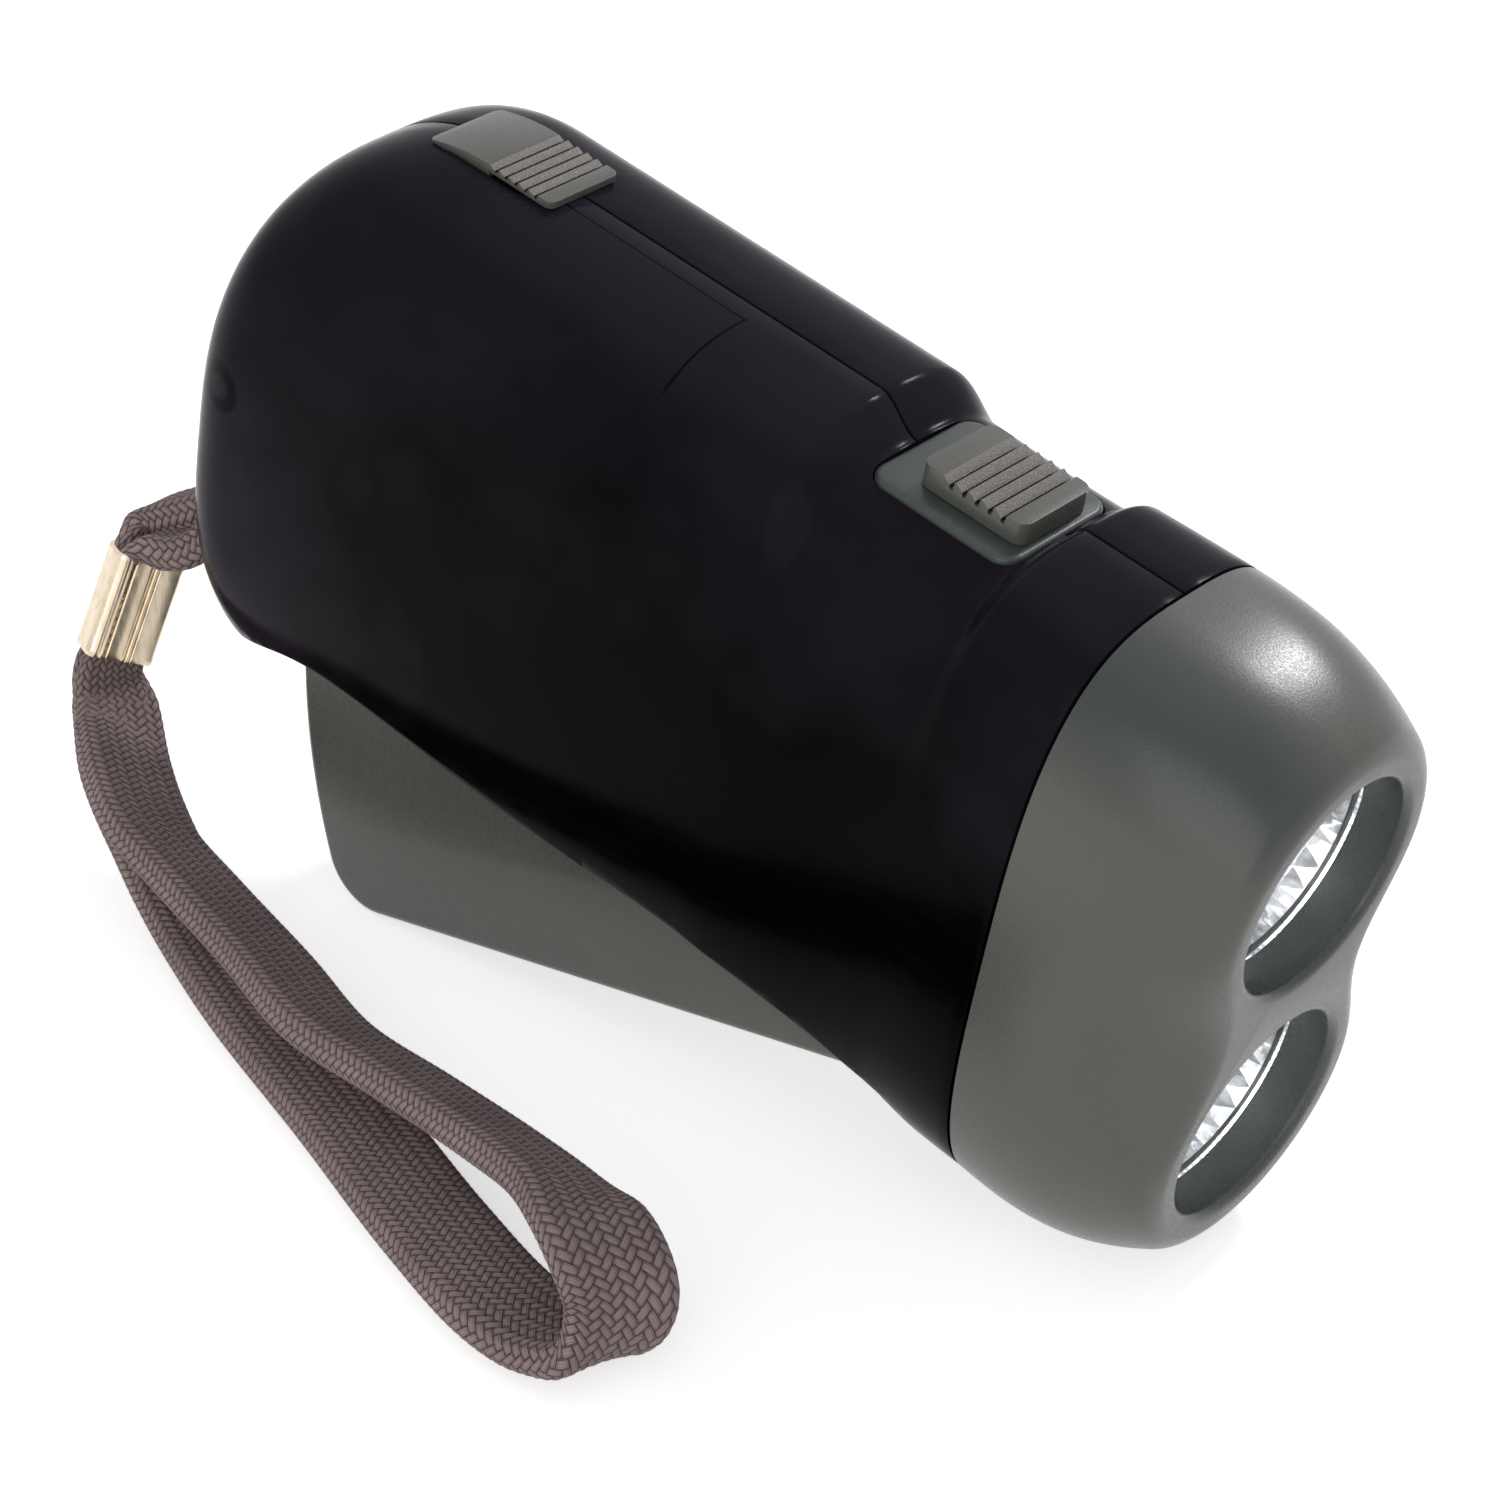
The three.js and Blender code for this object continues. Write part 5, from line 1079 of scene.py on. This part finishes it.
class FLASHLIGHT_OT_crimp(bpy.types.Operator):
    """Fold the nickel crimp round the two strands of the strap. Its section is a front of three rounded
    beads and a plain back, swollen a little near both ends; the hole is a squared oval"""

    bl_idname = "flashlight.crimp"
    bl_label = "Strap crimp"

    def execute(self, context):
        front = np.concatenate([
            arc(-2.28, -1.05, 0.86, 180, 350, 22), [[-1.36, -0.85]], arc(-1.1, -1.35, 0.2, 200, 270, 5),
            [[-0.6, -1.62], [0.1, -1.68], [0.4, -1.62], [0.47, -1.5]], arc(0.66, -1.62, 0.19, 160, 350, 12),
            [[0.9, -1.42]], arc(1.15, -1.5, 0.2, 200, 270, 5), arc(2.75, -1.32, 0.4, 275, 360, 10),
        ])
        outer = np.concatenate([front, arc(2.45, 0.95, 0.7, 0, 90, 10), arc(-2.44, 0.95, 0.7, 90, 180, 10)])
        angle = np.arctan2(outer[:, 1], outer[:, 0])
        squared = np.stack([f(angle) for f in (np.cos, np.sin)], axis=-1)
        inner = CRIMP_HOLE * np.sign(squared) * np.abs(squared) ** 0.5 + CRIMP_HOLE_SHIFT
        rows = [(outer * swell, share) for share, swell in CRIMP_LIPS]
        rows += [(inner, share) for share, _ in CRIMP_LIPS[::-1]]
        middle, span = (CRIMP_TOP + CRIMP_BOTTOM) / 2, np.linalg.norm(CRIMP_TOP - CRIMP_BOTTOM)
        across = np.array([CRIMP_ACROSS, CRIMP_BACK])
        rings = np.array([middle + form @ across + (share - 0.5) * span * CRIMP_AXIS for form, share in rows])
        crimp = raw_object("crimp_sheet", rings / 1000, looped_faces(*rings.shape[:2]))
        finish(crimp, material("nickel"), "case", "nickel", "strap_crimp", smooth=50)
        return {"FINISHED"}


# case


def lever_opening():
    """The flat underside of the rear, a ramp, then the side edge as a smooth curve through its shares,
    closed well below."""
    places = EDGE_SHARES * [EDGE_FRONT - EDGE_REAR, -EDGE_HEIGHT] + [EDGE_REAR, 0]
    curve, _ = spline(np.concatenate([[[EDGE_REAR - EDGE_RAMP, -REAR_FLOOR]], places]), 14)
    front = EDGE_FRONT + EDGE_RUN
    ends = [[-OUTSIDE, -OUTSIDE], [-OUTSIDE, -REAR_FLOOR]], [[front, -REAR_BELLY], [front, -OUTSIDE]]
    return np.concatenate([ends[0], curve, ends[1]])


def hollowing(sizes, half):
    """What the case's shell is cut by: its hollow, the lever's opening and slot, and the holes for the
    switch plate, the lock's leg, the lock and the strap."""
    wall, saddle, deck = sizes.wall * 1000, sizes.saddle * 1000, sizes.deck * 1000
    slot_top = PIVOT[2] - SLOT_OVER
    slot_rear, slot_front = PIVOT[0] - LEVER_REACH - GAP, PIVOT[0] + LEVER_BARREL + GAP
    slot = [[slot_rear, -OUTSIDE], [slot_front, -OUTSIDE], [slot_front, slot_top], [slot_rear, slot_top]]
    top = deck + CUT_OVER
    return [
        case_skin("hollow", wall, HOLLOW_FRONT, sizes),
        prism("edge", lever_opening(), -OUTSIDE, OUTSIDE, 1),
        prism("slot", slot, -half - SLOT_PLAY, half + SLOT_PLAY, 1),
        block("plate_hole", (PLATE_REAR - GAP / 2, PLATE_FRONT + GAP / 2), PLATE_WIDTH / 2 + GAP / 2,
              PLATE_CORNER + GAP / 2, saddle - CUT_DEPTH, top),
        block("lock_hole", LOCK_HOLE, LEG_HALF + GAP, 2 * LEG_CORNER, deck - CUT_DEPTH, top),
        block("lock_track", LOCK_TRACK[:2], LOCK_WIDTH / 2 + GAP / 2, TRACK_CORNER, LOCK_TRACK[2], top),
        prism("notch", rounded_box(*NOTCH_ENDS, POST[2] - NOTCH_HALF, POST[2] + NOTCH_HALF, NOTCH_CORNER),
              -NOTCH_SIDE, NOTCH_SIDE, 1),
    ]


class FLASHLIGHT_OT_case(bpy.types.Operator):
    """Mould the two case halves with their openings, posts and bosses"""

    bl_idname = "flashlight.case"
    bl_label = "Case halves"

    def execute(self, context):
        sizes = context.scene.flashlight_case
        wall, half, side = sizes.wall * 1000, context.scene.flashlight_lever.width * 500, SECTION[0]
        shell = case_skin("case_shell", 0, 0, sizes)
        carve(shell, hollowing(sizes, half))
        pin, post = PIVOT[[0, 2]], POST[[0, 2]]
        posts = [rod("boss", *place, BOSS_RADIUS, -side, side) for place in SCREWS]
        posts += [rod("pivot_boss", *pin, PIN_BOSS_RADIUS, way * (half + GAP), way * side) for way in (-1, 1)]
        posts.append(rod("post", *post, POST_RADIUS, -side, side))
        within = case_skin("within", wall / 2, -wall, sizes)
        for piece in posts:
            carve(piece, [copy_of(within)], "INTERSECT")
        bpy.data.objects.remove(within)
        carve(shell, posts, "UNION")
        holes = [rod("screw_hole", *place, SCREW_HOLE, SCREW_END, OUTSIDE) for place in SCREWS]
        holes += [rod("head_hole", *place, HEAD_HOLE, HEAD_SEAT, OUTSIDE) for place in SCREWS]
        holes.append(rod("pin_hole", *pin, PIN_HOLE, -PIN_END, PIN_END))
        carve(shell, holes)
        outside = np.array([[-1, -1], [1, -1], [1, 1], [-1, 1]]) * OUTSIDE
        for word, low, high in (("right", -SEAM / 2, OUTSIDE), ("left", -OUTSIDE, SEAM / 2)):
            shell_half = copy_of(shell)
            shell_half.name = f"case_shell_{word}"
            carve(shell_half, [prism("away", outside, low, high, 1)])
            soften(shell_half, CASE_ROUND, 2, 50)
            finish(shell_half, material("smoke_case"), "case", "smoke_case", f"case_{word}",
                   smooth=CASE_CREASE)
        bpy.data.objects.remove(shell)
        return {"FINISHED"}


# head and optics


class FLASHLIGHT_OT_head(bpy.types.Operator):
    """Mould the head bezel with its waist, rim and two flared bores"""

    bl_idname = "flashlight.head"
    bl_label = "Head bezel"

    def execute(self, context):
        sizes = context.scene.flashlight_head
        wall = context.scene.flashlight_case.wall * 1000
        span, rim, bore = sizes.length * 1000, sizes.rim * 1000, sizes.bore * 1000
        body = np.linspace(GAP, span - rim, 40)
        turn = np.linspace(0, np.pi / 2, 9)[1:]
        x = np.concatenate([body, span - rim + rim * np.sin(turn)])
        inset = np.concatenate([0 * body, rim * (1 - np.cos(turn))])
        outer = self.tongue((TONGUE_REAR, GAP), wall + GAP)
        bezel = skin("bezel", stand(np.concatenate([outer, head_rings(x, inset, sizes)])))
        deep = np.linspace(wall, HOLLOW_END, 10)
        inner = self.tongue((HOLLOW_REAR, wall), wall + GAP + TONGUE_WALL)
        tools = [skin("hollow", stand(np.concatenate([inner, head_rings(deep, 0 * deep + wall, sizes)])))]
        flared, front = bore + BORE_FLARE, span + CUT_OVER
        mouth = arc(flared, span - BORE_FLARE, BORE_FLARE, 180, 90, 7)
        throat = [[0, HOLLOW_END], [bore, HOLLOW_END]]
        bore_profile = np.concatenate([throat, mouth, [[flared, front], [0, front]]])
        seat_profile = [[0, SEAT_REAR], [SEAT_RADIUS, SEAT_REAR], [SEAT_RADIUS, LENS_FRONT], [0, LENS_FRONT]]
        for z in (-LOBE_Z, LOBE_Z):
            tools.append(turned("bore", bore_profile, 0, 0, z, 0, 96))
            tools.append(turned("seat", seat_profile, 0, 0, z, 0, 96))
        carve(bezel, tools)
        finish(bezel, material("grey_shell"), "case", "grey_shell", "head_bezel", smooth=CASE_CREASE)
        return {"FINISHED"}

    def tongue(self, places, inset):
        """The case's squared oval, drawn in by the inset, at each place along x."""
        outline = whole(unit_quarter() * (SECTION - inset))
        return np.array([np.insert(outline, 0, place, axis=1) for place in places])


class FLASHLIGHT_OT_optics(bpy.types.Operator):
    """Make the faceted reflectors, the clear lenses and the two light-emitting diodes"""

    bl_idname = "flashlight.optics"
    bl_label = "Lenses and reflectors"

    def execute(self, context):
        sizes = context.scene.flashlight_head
        front = LENS_FRONT - GAP
        crown = [[r, front + LENS_CROWN * (1 - (r / LENS_EDGE) ** 2)] for r in np.linspace(LENS_EDGE, 0, 16)]
        lens = [[0, front - LENS_THICK], [LENS_EDGE, front - LENS_THICK]] + crown
        dome = [[DIODE_RADIUS * math.cos(a), DIODE_TALL + DIODE_RADIUS * math.sin(a)]
                for a in np.linspace(0.12, math.pi / 2, 10)]
        dome[-1][0] = 0
        diode = [[0, DIODE_REAR], [DIODE_FLANGE, DIODE_REAR], [DIODE_FLANGE, DIODE_STEP],
                 [DIODE_RADIUS, DIODE_STEP], [DIODE_RADIUS, DIODE_TALL]] + dome
        for word, z in (("upper", LOBE_Z), ("lower", -LOBE_Z)):
            self.reflector(word, z, sizes)
            piece = turned(f"lens_disc_{word}", lens, 0, 0, z, 0, 72)
            finish(piece, material("clear_lens"), "case", "clear_lens", f"lens_{word}", smooth=30)
            piece = turned(f"diode_{word}", diode, 0, 0, z, 0, 40)
            finish(piece, material("lit_diode"), "case", "clear_lens", f"led_{word}", smooth=35)
        return {"FINISHED"}

    def reflector(self, word, z, sizes):
        """A bowl on a parabola, x = share^2 of its depth. Inside, points in turn stand out and in by a
        dent, which cuts it into flat facets; the outside is smooth."""
        count = sizes.facets * 2
        depth, flare = LENS_FRONT - LENS_THICK - 2 * GAP - BOWL_REAR, BOWL_RIM - BOWL_EYE
        angle = np.arange(count) * 2 * np.pi / count

        def ring(x, radius):
            return np.stack([x + 0 * angle, radius * np.cos(angle), radius * np.sin(angle)], axis=-1)

        shares = np.linspace(0, 1, FACET_RINGS)
        inside, outside = [], []
        for row, share in enumerate(shares):
            dent = FACET_DENT * np.where((np.arange(count) + row) % 2 == 0, 1, -1) * (0 < share < 1)
            inside.append(ring(BOWL_REAR + depth * share**2 + dent, BOWL_EYE + flare * share - dent))
            back = BOWL_REAR - BOWL_WALL * (1 - share) + (depth - BOWL_WALL) * share**2
            outside.append(ring(back, BOWL_EYE + BOWL_WALL + (flare - GAP) * share))
        rings = np.array(inside + outside[::-1])
        place = np.array([0, 0, z])
        bowl = raw_object(f"reflector_bowl_{word}", stand(rings + place), looped_faces(*rings.shape[:2]))
        reworked(bowl.data, lambda shape: bmesh.ops.triangulate(shape, faces=shape.faces))
        finish(bowl, material("bright_reflector"), "case", "bright_reflector", f"reflector_{word}", smooth=0)


# lever


def lever_outline(inset):
    """The lever's side view from its pivot: an arc round the pivot, the straight underside, a rounded heel,
    and the arc of its rear end."""
    reach, barrel, corner = LEVER_REACH - inset, LEVER_BARREL - inset, LEVER_CORNER - inset
    down = np.array([math.sin(LEVER_SLOPE), -math.cos(LEVER_SLOPE)])
    back = np.array([-math.cos(LEVER_SLOPE), -math.sin(LEVER_SLOPE)])
    inner = math.sqrt((reach - corner) ** 2 - (barrel - corner) ** 2)
    centre = down * (barrel - corner) + back * inner
    slope = math.degrees(LEVER_SLOPE)
    turn = math.degrees(math.atan2(centre[1], centre[0])) % 360
    top = 180 - math.degrees(LEVER_TOP)
    return np.concatenate([
        arc(0, 0, barrel, 90, slope - 90, 40), arc(*centre, corner, slope - 90, turn - 360, 14),
        arc(0, 0, reach, turn - 360, top - 360, 24),
    ])


class FLASHLIGHT_OT_lever(bpy.types.Operator):
    """Mould the hollow squeeze lever with rounded edges"""

    bl_idname = "flashlight.lever"
    bl_label = "Squeeze lever"

    def execute(self, context):
        sizes = context.scene.flashlight_lever
        half, wall = sizes.width * 500, sizes.wall * 1000
        place, inside = PIVOT[[0, 2]], half - wall
        lever = prism("lever_shell", lever_outline(0) + place, -half, half, 1)
        soften(lever, LEVER_ROUND, 4, 50)
        over = LEVER_BARREL + CUT_OVER
        rear = [-LEVER_REACH * math.cos(LEVER_TOP), LEVER_REACH * math.sin(LEVER_TOP) - wall]
        opening = np.array([[0, over], [-LEVER_REACH, over], rear, [0, LEVER_BARREL - 2 * wall]]) + place
        carve(lever, [prism("hollow", lever_outline(wall) + place, -inside, inside, 1),
                      prism("open_top", opening, -inside, inside, 1)])
        ends = HUB_INSIDE, inside + wall / 2
        hubs = [rod("hub", *place, HUB_RADIUS, *(way * end for end in ends)) for way in (-1, 1)]
        carve(lever, hubs, "UNION")
        carve(lever, [rod("bore", *place, PIN_HOLE, -OUTSIDE, OUTSIDE)])
        finish(lever, material("grey_shell"), "lever", "grey_shell", "squeeze_lever")
        return {"FINISHED"}


# controls


def grooved(rear, front, low, top, shares, depth, droop=0.0):
    """A slider's side view: a flat, saw teeth between two shares of its length that fall forwards and rise
    steeply, and another flat. With a droop the rear of the top bends down along a parabola."""
    start = rear + (front - rear) * shares[0]
    pitch = (front - rear) * (shares[1] - shares[0]) / RIDGES
    i = np.arange(RIDGES)[:, None]
    grooves = np.stack([start + (i + TOOTH[:, 0]) * pitch, top + TOOTH[:, 1] * depth + 0 * i], axis=-1)
    grooves = grooves.reshape(-1, 2)
    bend = np.linspace(0, 1, 13)[:-1]
    rear_top = np.stack([rear + (start - rear) * bend, top - droop * (1 - bend) ** 2], axis=-1)
    return np.concatenate([[[front, low], [front, top]], grooves[::-1], rear_top[::-1]])


def slider(name, outline, ends, width, corner, low, top, rounding):
    """A slider with a side view, its corners rounded seen from above, and softened edges."""
    piece = prism(name, outline, -width / 2, width / 2, 1)
    carve(piece, [block("plan", ends, width / 2, corner, low, top + 1)], "INTERSECT")
    return soften(piece, rounding, 3, 28)


def paint_ridge_light_and_shade(piece, rear, front, top, shares, depth):
    """Sets a face attribute between two shares of a slider's length: 1 on the slopes of its teeth, which face
    forwards and get painted light, and -1 in the slits between them, which get painted shade."""
    mesh = piece.data

    def face_values(name):
        values = np.empty(len(mesh.polygons) * 3)
        mesh.polygons.foreach_get(name, values)
        return values.reshape(-1, 3)

    place = leaned(face_values("center") * 1000 - PLACE, -PITCH)
    facing = leaned(face_values("normal"), -PITCH)
    x, z = place[:, 0], place[:, 2]
    low, high = rear + (front - rear) * shares[0] - 0.2, rear + (front - rear) * shares[1]
    ridged = (x > low) & (x < high) & (np.abs(facing[:, 1]) < 0.5) & (z > top - depth * 1.1)
    slope = ridged & (facing[:, 0] > 0.2) & (z > top - depth * 0.56)
    slit = ridged & ~slope & (z < top - depth * 0.2)
    mesh.attributes.new("ridge_light_and_shade", "FLOAT", "FACE").data.foreach_set("value", slope.astype(np.float32) - slit)


class FLASHLIGHT_OT_controls(bpy.types.Operator):
    """Make the switch plate, the ribbed knob and the lever lock"""

    bl_idname = "flashlight.controls"
    bl_label = "Switch and lock"

    def execute(self, context):
        sizes = context.scene.flashlight_case
        self.plate(sizes.saddle * 1000)
        self.knob(sizes.saddle * 1000 + SEAT)
        self.lock(sizes.deck * 1000)
        return {"FINISHED"}

    def plate(self, saddle):
        half = PLATE_WIDTH / 2
        plate = block("switch_plate_top", (PLATE_REAR, PLATE_FRONT), half, PLATE_CORNER, PLATE_LOW, saddle)
        soften(plate, PLATE_ROUND, 3, 50)
        around = (PLATE_REAR - FLANGE_REACH, PLATE_FRONT + FLANGE_REACH)
        carve(plate, [block("flange", around, half + FLANGE_REACH, FLANGE_CORNER, PLATE_LOW,
                           FLANGE_TOP)], "UNION")
        carve(plate, [block("slot", STEM_SLOT, SLOT_HALF, SLOT_CORNER, 0, OUTSIDE)])
        finish(plate, material("slate_trim"), "case", "slate_trim", "switch_plate")

    def knob(self, low):
        rear = KNOB_FRONT - KNOB_LENGTH
        side_view = grooved(rear, KNOB_FRONT, low, KNOB_TOP, KNOB_RIDGES, KNOB_TOOTH)
        knob = slider("switch_knob_ribbed", np.concatenate([side_view, [[rear, low]]]), (rear, KNOB_FRONT),
                      KNOB_WIDTH, KNOB_CORNER, low - 1, KNOB_TOP, KNOB_ROUND)
        carve(knob, [
            block("stem", STEM_ENDS, STEM_HALF, STEM_CORNER, STEM_LOW, low + GAP),
            block("foot", STEM_ENDS, STEM_FOOT_HALF, STEM_CORNER, STEM_LOW, STEM_FOOT_TOP),
        ], "UNION")
        paint_ridge_light_and_shade(knob, rear, KNOB_FRONT, KNOB_TOP, KNOB_RIDGES, KNOB_TOOTH)
        finish(knob, material("grey_shell"), "knob", "grey_shell", "switch_knob")

    def lock(self, deck):
        low, front = deck + SEAT, LOCK_REAR + LOCK_LENGTH
        sunk, floor = LOCK_TRACK[1] - LOCK_TRAVEL - TRACK_CORNER, LOCK_TRACK[2] + SEAT
        side_view = grooved(LOCK_REAR, front, low, LOCK_TOP, LOCK_RIDGES, LOCK_TOOTH, LOCK_DROOP)
        side_view = np.concatenate([side_view, [[LOCK_REAR, floor], [sunk, floor], [sunk, low]]])
        lock = slider("lock_slider_ribbed", side_view, (LOCK_REAR, front), LOCK_WIDTH, LOCK_CORNER, deck - 2,
                      LOCK_TOP, LOCK_ROUND)
        hook = rounded_box(*LEG_ENDS, HOOK_SIDE, LEG_HALF, LEG_CORNER)
        carve(lock, [block("leg", LEG_ENDS, LEG_HALF, LEG_CORNER, LEG_LOW, low + GAP),
                     block("foot", LEG_ENDS, LEG_FOOT_HALF, LEG_CORNER, *LEG_FOOT),
                     prism("hook", hook, LEG_LOW, HOOK_TOP, 2)], "UNION")
        paint_ridge_light_and_shade(lock, LOCK_REAR, front, LOCK_TOP, LOCK_RIDGES, LOCK_TOOTH)
        finish(lock, material("grey_shell"), "lock", "slate_trim", "lock_slider")


# workings


class FLASHLIGHT_OT_workings(bpy.types.Operator):
    """Give the gears, dynamo, cells, boards and screws their finishes"""

    bl_idname = "flashlight.workings"
    bl_label = "Workings"

    def execute(self, context):
        for part in frame["record"]["subparts"]:
            node = frame["nodes"][part["node"]]
            node.data.materials.clear()
            node.data.materials.append(material(part["material_slot"]))
        self.return_spring()
        return {"FINISHED"}

    def return_spring(self):
        """A copy of the return spring's CAD mesh in its place, in plated steel; the CAD spring is hidden."""
        node = frame["nodes"]["lever_spring"]
        mesh = node.data.copy()
        mesh.transform(node.matrix_world)
        spring = linked("return_spring", mesh)
        finish(spring, material("steel"), None, "steel", "lever_spring", smooth=50)
        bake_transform(spring)


# stage


class FLASHLIGHT_OT_stage(bpy.types.Operator):
    """Set the pale floor, the soft studio light and the camera"""

    bl_idname = "flashlight.stage"
    bl_label = "Stage and camera"

    def execute(self, context):
        scene = context.scene
        scene.view_settings.view_transform = "Standard"
        self.camera(scene)
        self.floor(scene)
        self.world(scene)
        for lamp in LAMPS:
            self.lamp(*lamp)
        return {"FINISHED"}

    def lamp(self, name, place, size, power, colour):
        """A rectangular lamp at a place, pointed at the flashlight's middle."""
        data = bpy.data.lights.new(name, "AREA")
        data.shape = "RECTANGLE"
        data.size, data.size_y = size
        data.energy = power
        data.color = colour
        lamp = linked(name, data)
        lamp.location = place
        lamp.rotation_euler = (Vector(LAMP_TARGET) - Vector(place)).to_track_quat("-Z", "Y").to_euler()

    def camera(self, scene):
        """The photograph's viewpoint: its right, up and back directions, turned by how much further the
        flashlight leans here than in the fit, and its place from the top of the head joint."""
        az, el = math.radians(CAMERA_TURN), math.radians(CAMERA_RISE)
        right = np.array([math.cos(az), math.sin(az), 0])
        back = np.array([math.sin(az) * math.cos(el), -math.cos(az) * math.cos(el), math.sin(el)])
        up = np.cross(back, right)
        axes = leaned([right, up, back], PITCH - math.radians(FIT_LEAN))
        place = standing([0, 0, SECTION[1]]) + CAMERA_OFF @ axes
        data = bpy.data.cameras.new("camera")
        data.sensor_width = 36
        data.lens = CAMERA_LENS
        data.clip_start = 0.01
        camera = linked("camera", data)
        camera.matrix_world = Matrix.Translation(place / 1000) @ Matrix(axes.T.tolist()).to_4x4()
        scene.camera = camera

    def floor(self, scene):
        """A broad disc that falls away very slightly at its rim, on a grid of radius and angle."""
        radius = np.linspace(0, 1, 24)[:, None] ** 1.5 * 4
        angle = np.arange(64)[None, :] * 2 * np.pi / 64
        fall = -0.0001 - 0.002 * radius**2 + 0 * angle
        grid = np.stack([radius * np.cos(angle), radius * np.sin(angle), fall], axis=-1)
        mesh = bpy.data.meshes.new("floor")
        mesh.from_pydata(grid.reshape(-1, 3).tolist(), [], grid_faces(24, 64))
        floor = linked("floor", mesh)
        merge(floor)
        look = Finish("pale_floor", (0.86, 0.86, 0.86), 0.9, Specular_IOR_Level=0.1)
        look.colour(look.span(look.noise(30, 3.0, 0.5), 0.3, 0.7), (0.85, 0.85, 0.85), (0.87, 0.87, 0.87))
        look.bump(look.noise(900, 2.0, 0.5), 0.02)
        glow = look.add("ShaderNodeEmission")
        backdrop = (*scene.flashlight_colours.backdrop, 1)
        look.feed(glow, Color=backdrop, Strength=look.product(look.directly_seen(), FLOOR_GLOW))
        both = look.feed(look.add("ShaderNodeAddShader"), look.shader.outputs[0], glow.outputs[0])
        look.feed(look.tree.nodes["Material Output"], Surface=both.outputs[0])
        mesh.materials.append(look.material)

    def world(self, scene):
        """White where it is seen, and a softer light elsewhere."""
        world = bpy.data.worlds.new("studio")
        world.use_nodes = True
        sky = Nodes(world.node_tree)
        level = sky.span(sky.directly_seen(), 0, 1, LIGHT_ALL_ROUND, 1.0)
        sky.feed(sky.tree.nodes["Background"], Color=(1, 1, 1, 1), Strength=level)
        scene.world = world


# add-on


class FLASHLIGHT_PT_build(bpy.types.Panel):
    """Sizes, colours and steps of the flashlight"""

    bl_idname = "FLASHLIGHT_PT_build"
    bl_label = "Flashlight"
    bl_space_type = "VIEW_3D"
    bl_region_type = "UI"
    bl_category = "Flashlight"

    def draw(self, context):
        for group in (getattr(context.scene, name) for name in GROUPS):
            box = self.layout.box()
            for name in group.bl_rna.properties.keys():
                if name not in ("rna_type", "name"):
                    box.prop(group, name)
        for operator in OPERATORS:
            self.layout.operator(operator.bl_idname)


OPERATORS = (
    FLASHLIGHT_OT_stage, FLASHLIGHT_OT_crimp, FLASHLIGHT_OT_strap, FLASHLIGHT_OT_workings, FLASHLIGHT_OT_case,
    FLASHLIGHT_OT_head, FLASHLIGHT_OT_optics, FLASHLIGHT_OT_lever, FLASHLIGHT_OT_controls,
)
GROUPS = {
    "flashlight_case": FlashlightCaseSizes, "flashlight_head": FlashlightHeadSizes,
    "flashlight_lever": FlashlightLeverSizes, "flashlight_strap": FlashlightStrapSizes,
    "flashlight_colours": FlashlightColours,
}


def register():
    for group in GROUPS.values():
        bpy.utils.register_class(group)
    for name, group in GROUPS.items():
        setattr(bpy.types.Scene, name, PointerProperty(type=group))
    for operator in OPERATORS:
        bpy.utils.register_class(operator)
    bpy.utils.register_class(FLASHLIGHT_PT_build)


def unregister():
    bpy.utils.unregister_class(FLASHLIGHT_PT_build)
    for operator in reversed(OPERATORS):
        bpy.utils.unregister_class(operator)
    for name in GROUPS:
        delattr(bpy.types.Scene, name)
    for group in reversed(list(GROUPS.values())):
        bpy.utils.unregister_class(group)


def plain(box):
    return [[float(v) for v in corner] for corner in box]


def main():
    register()
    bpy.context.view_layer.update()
    bpy.ops.flashlight.stage()
    bpy.ops.flashlight.crimp()
    bpy.ops.flashlight.strap()
    bpy.ops.flashlight.workings()
    bpy.ops.flashlight.case()
    bpy.ops.flashlight.head()
    bpy.ops.flashlight.optics()
    bpy.ops.flashlight.lever()
    bpy.ops.flashlight.controls()


if __name__ == "__main__":
    main()
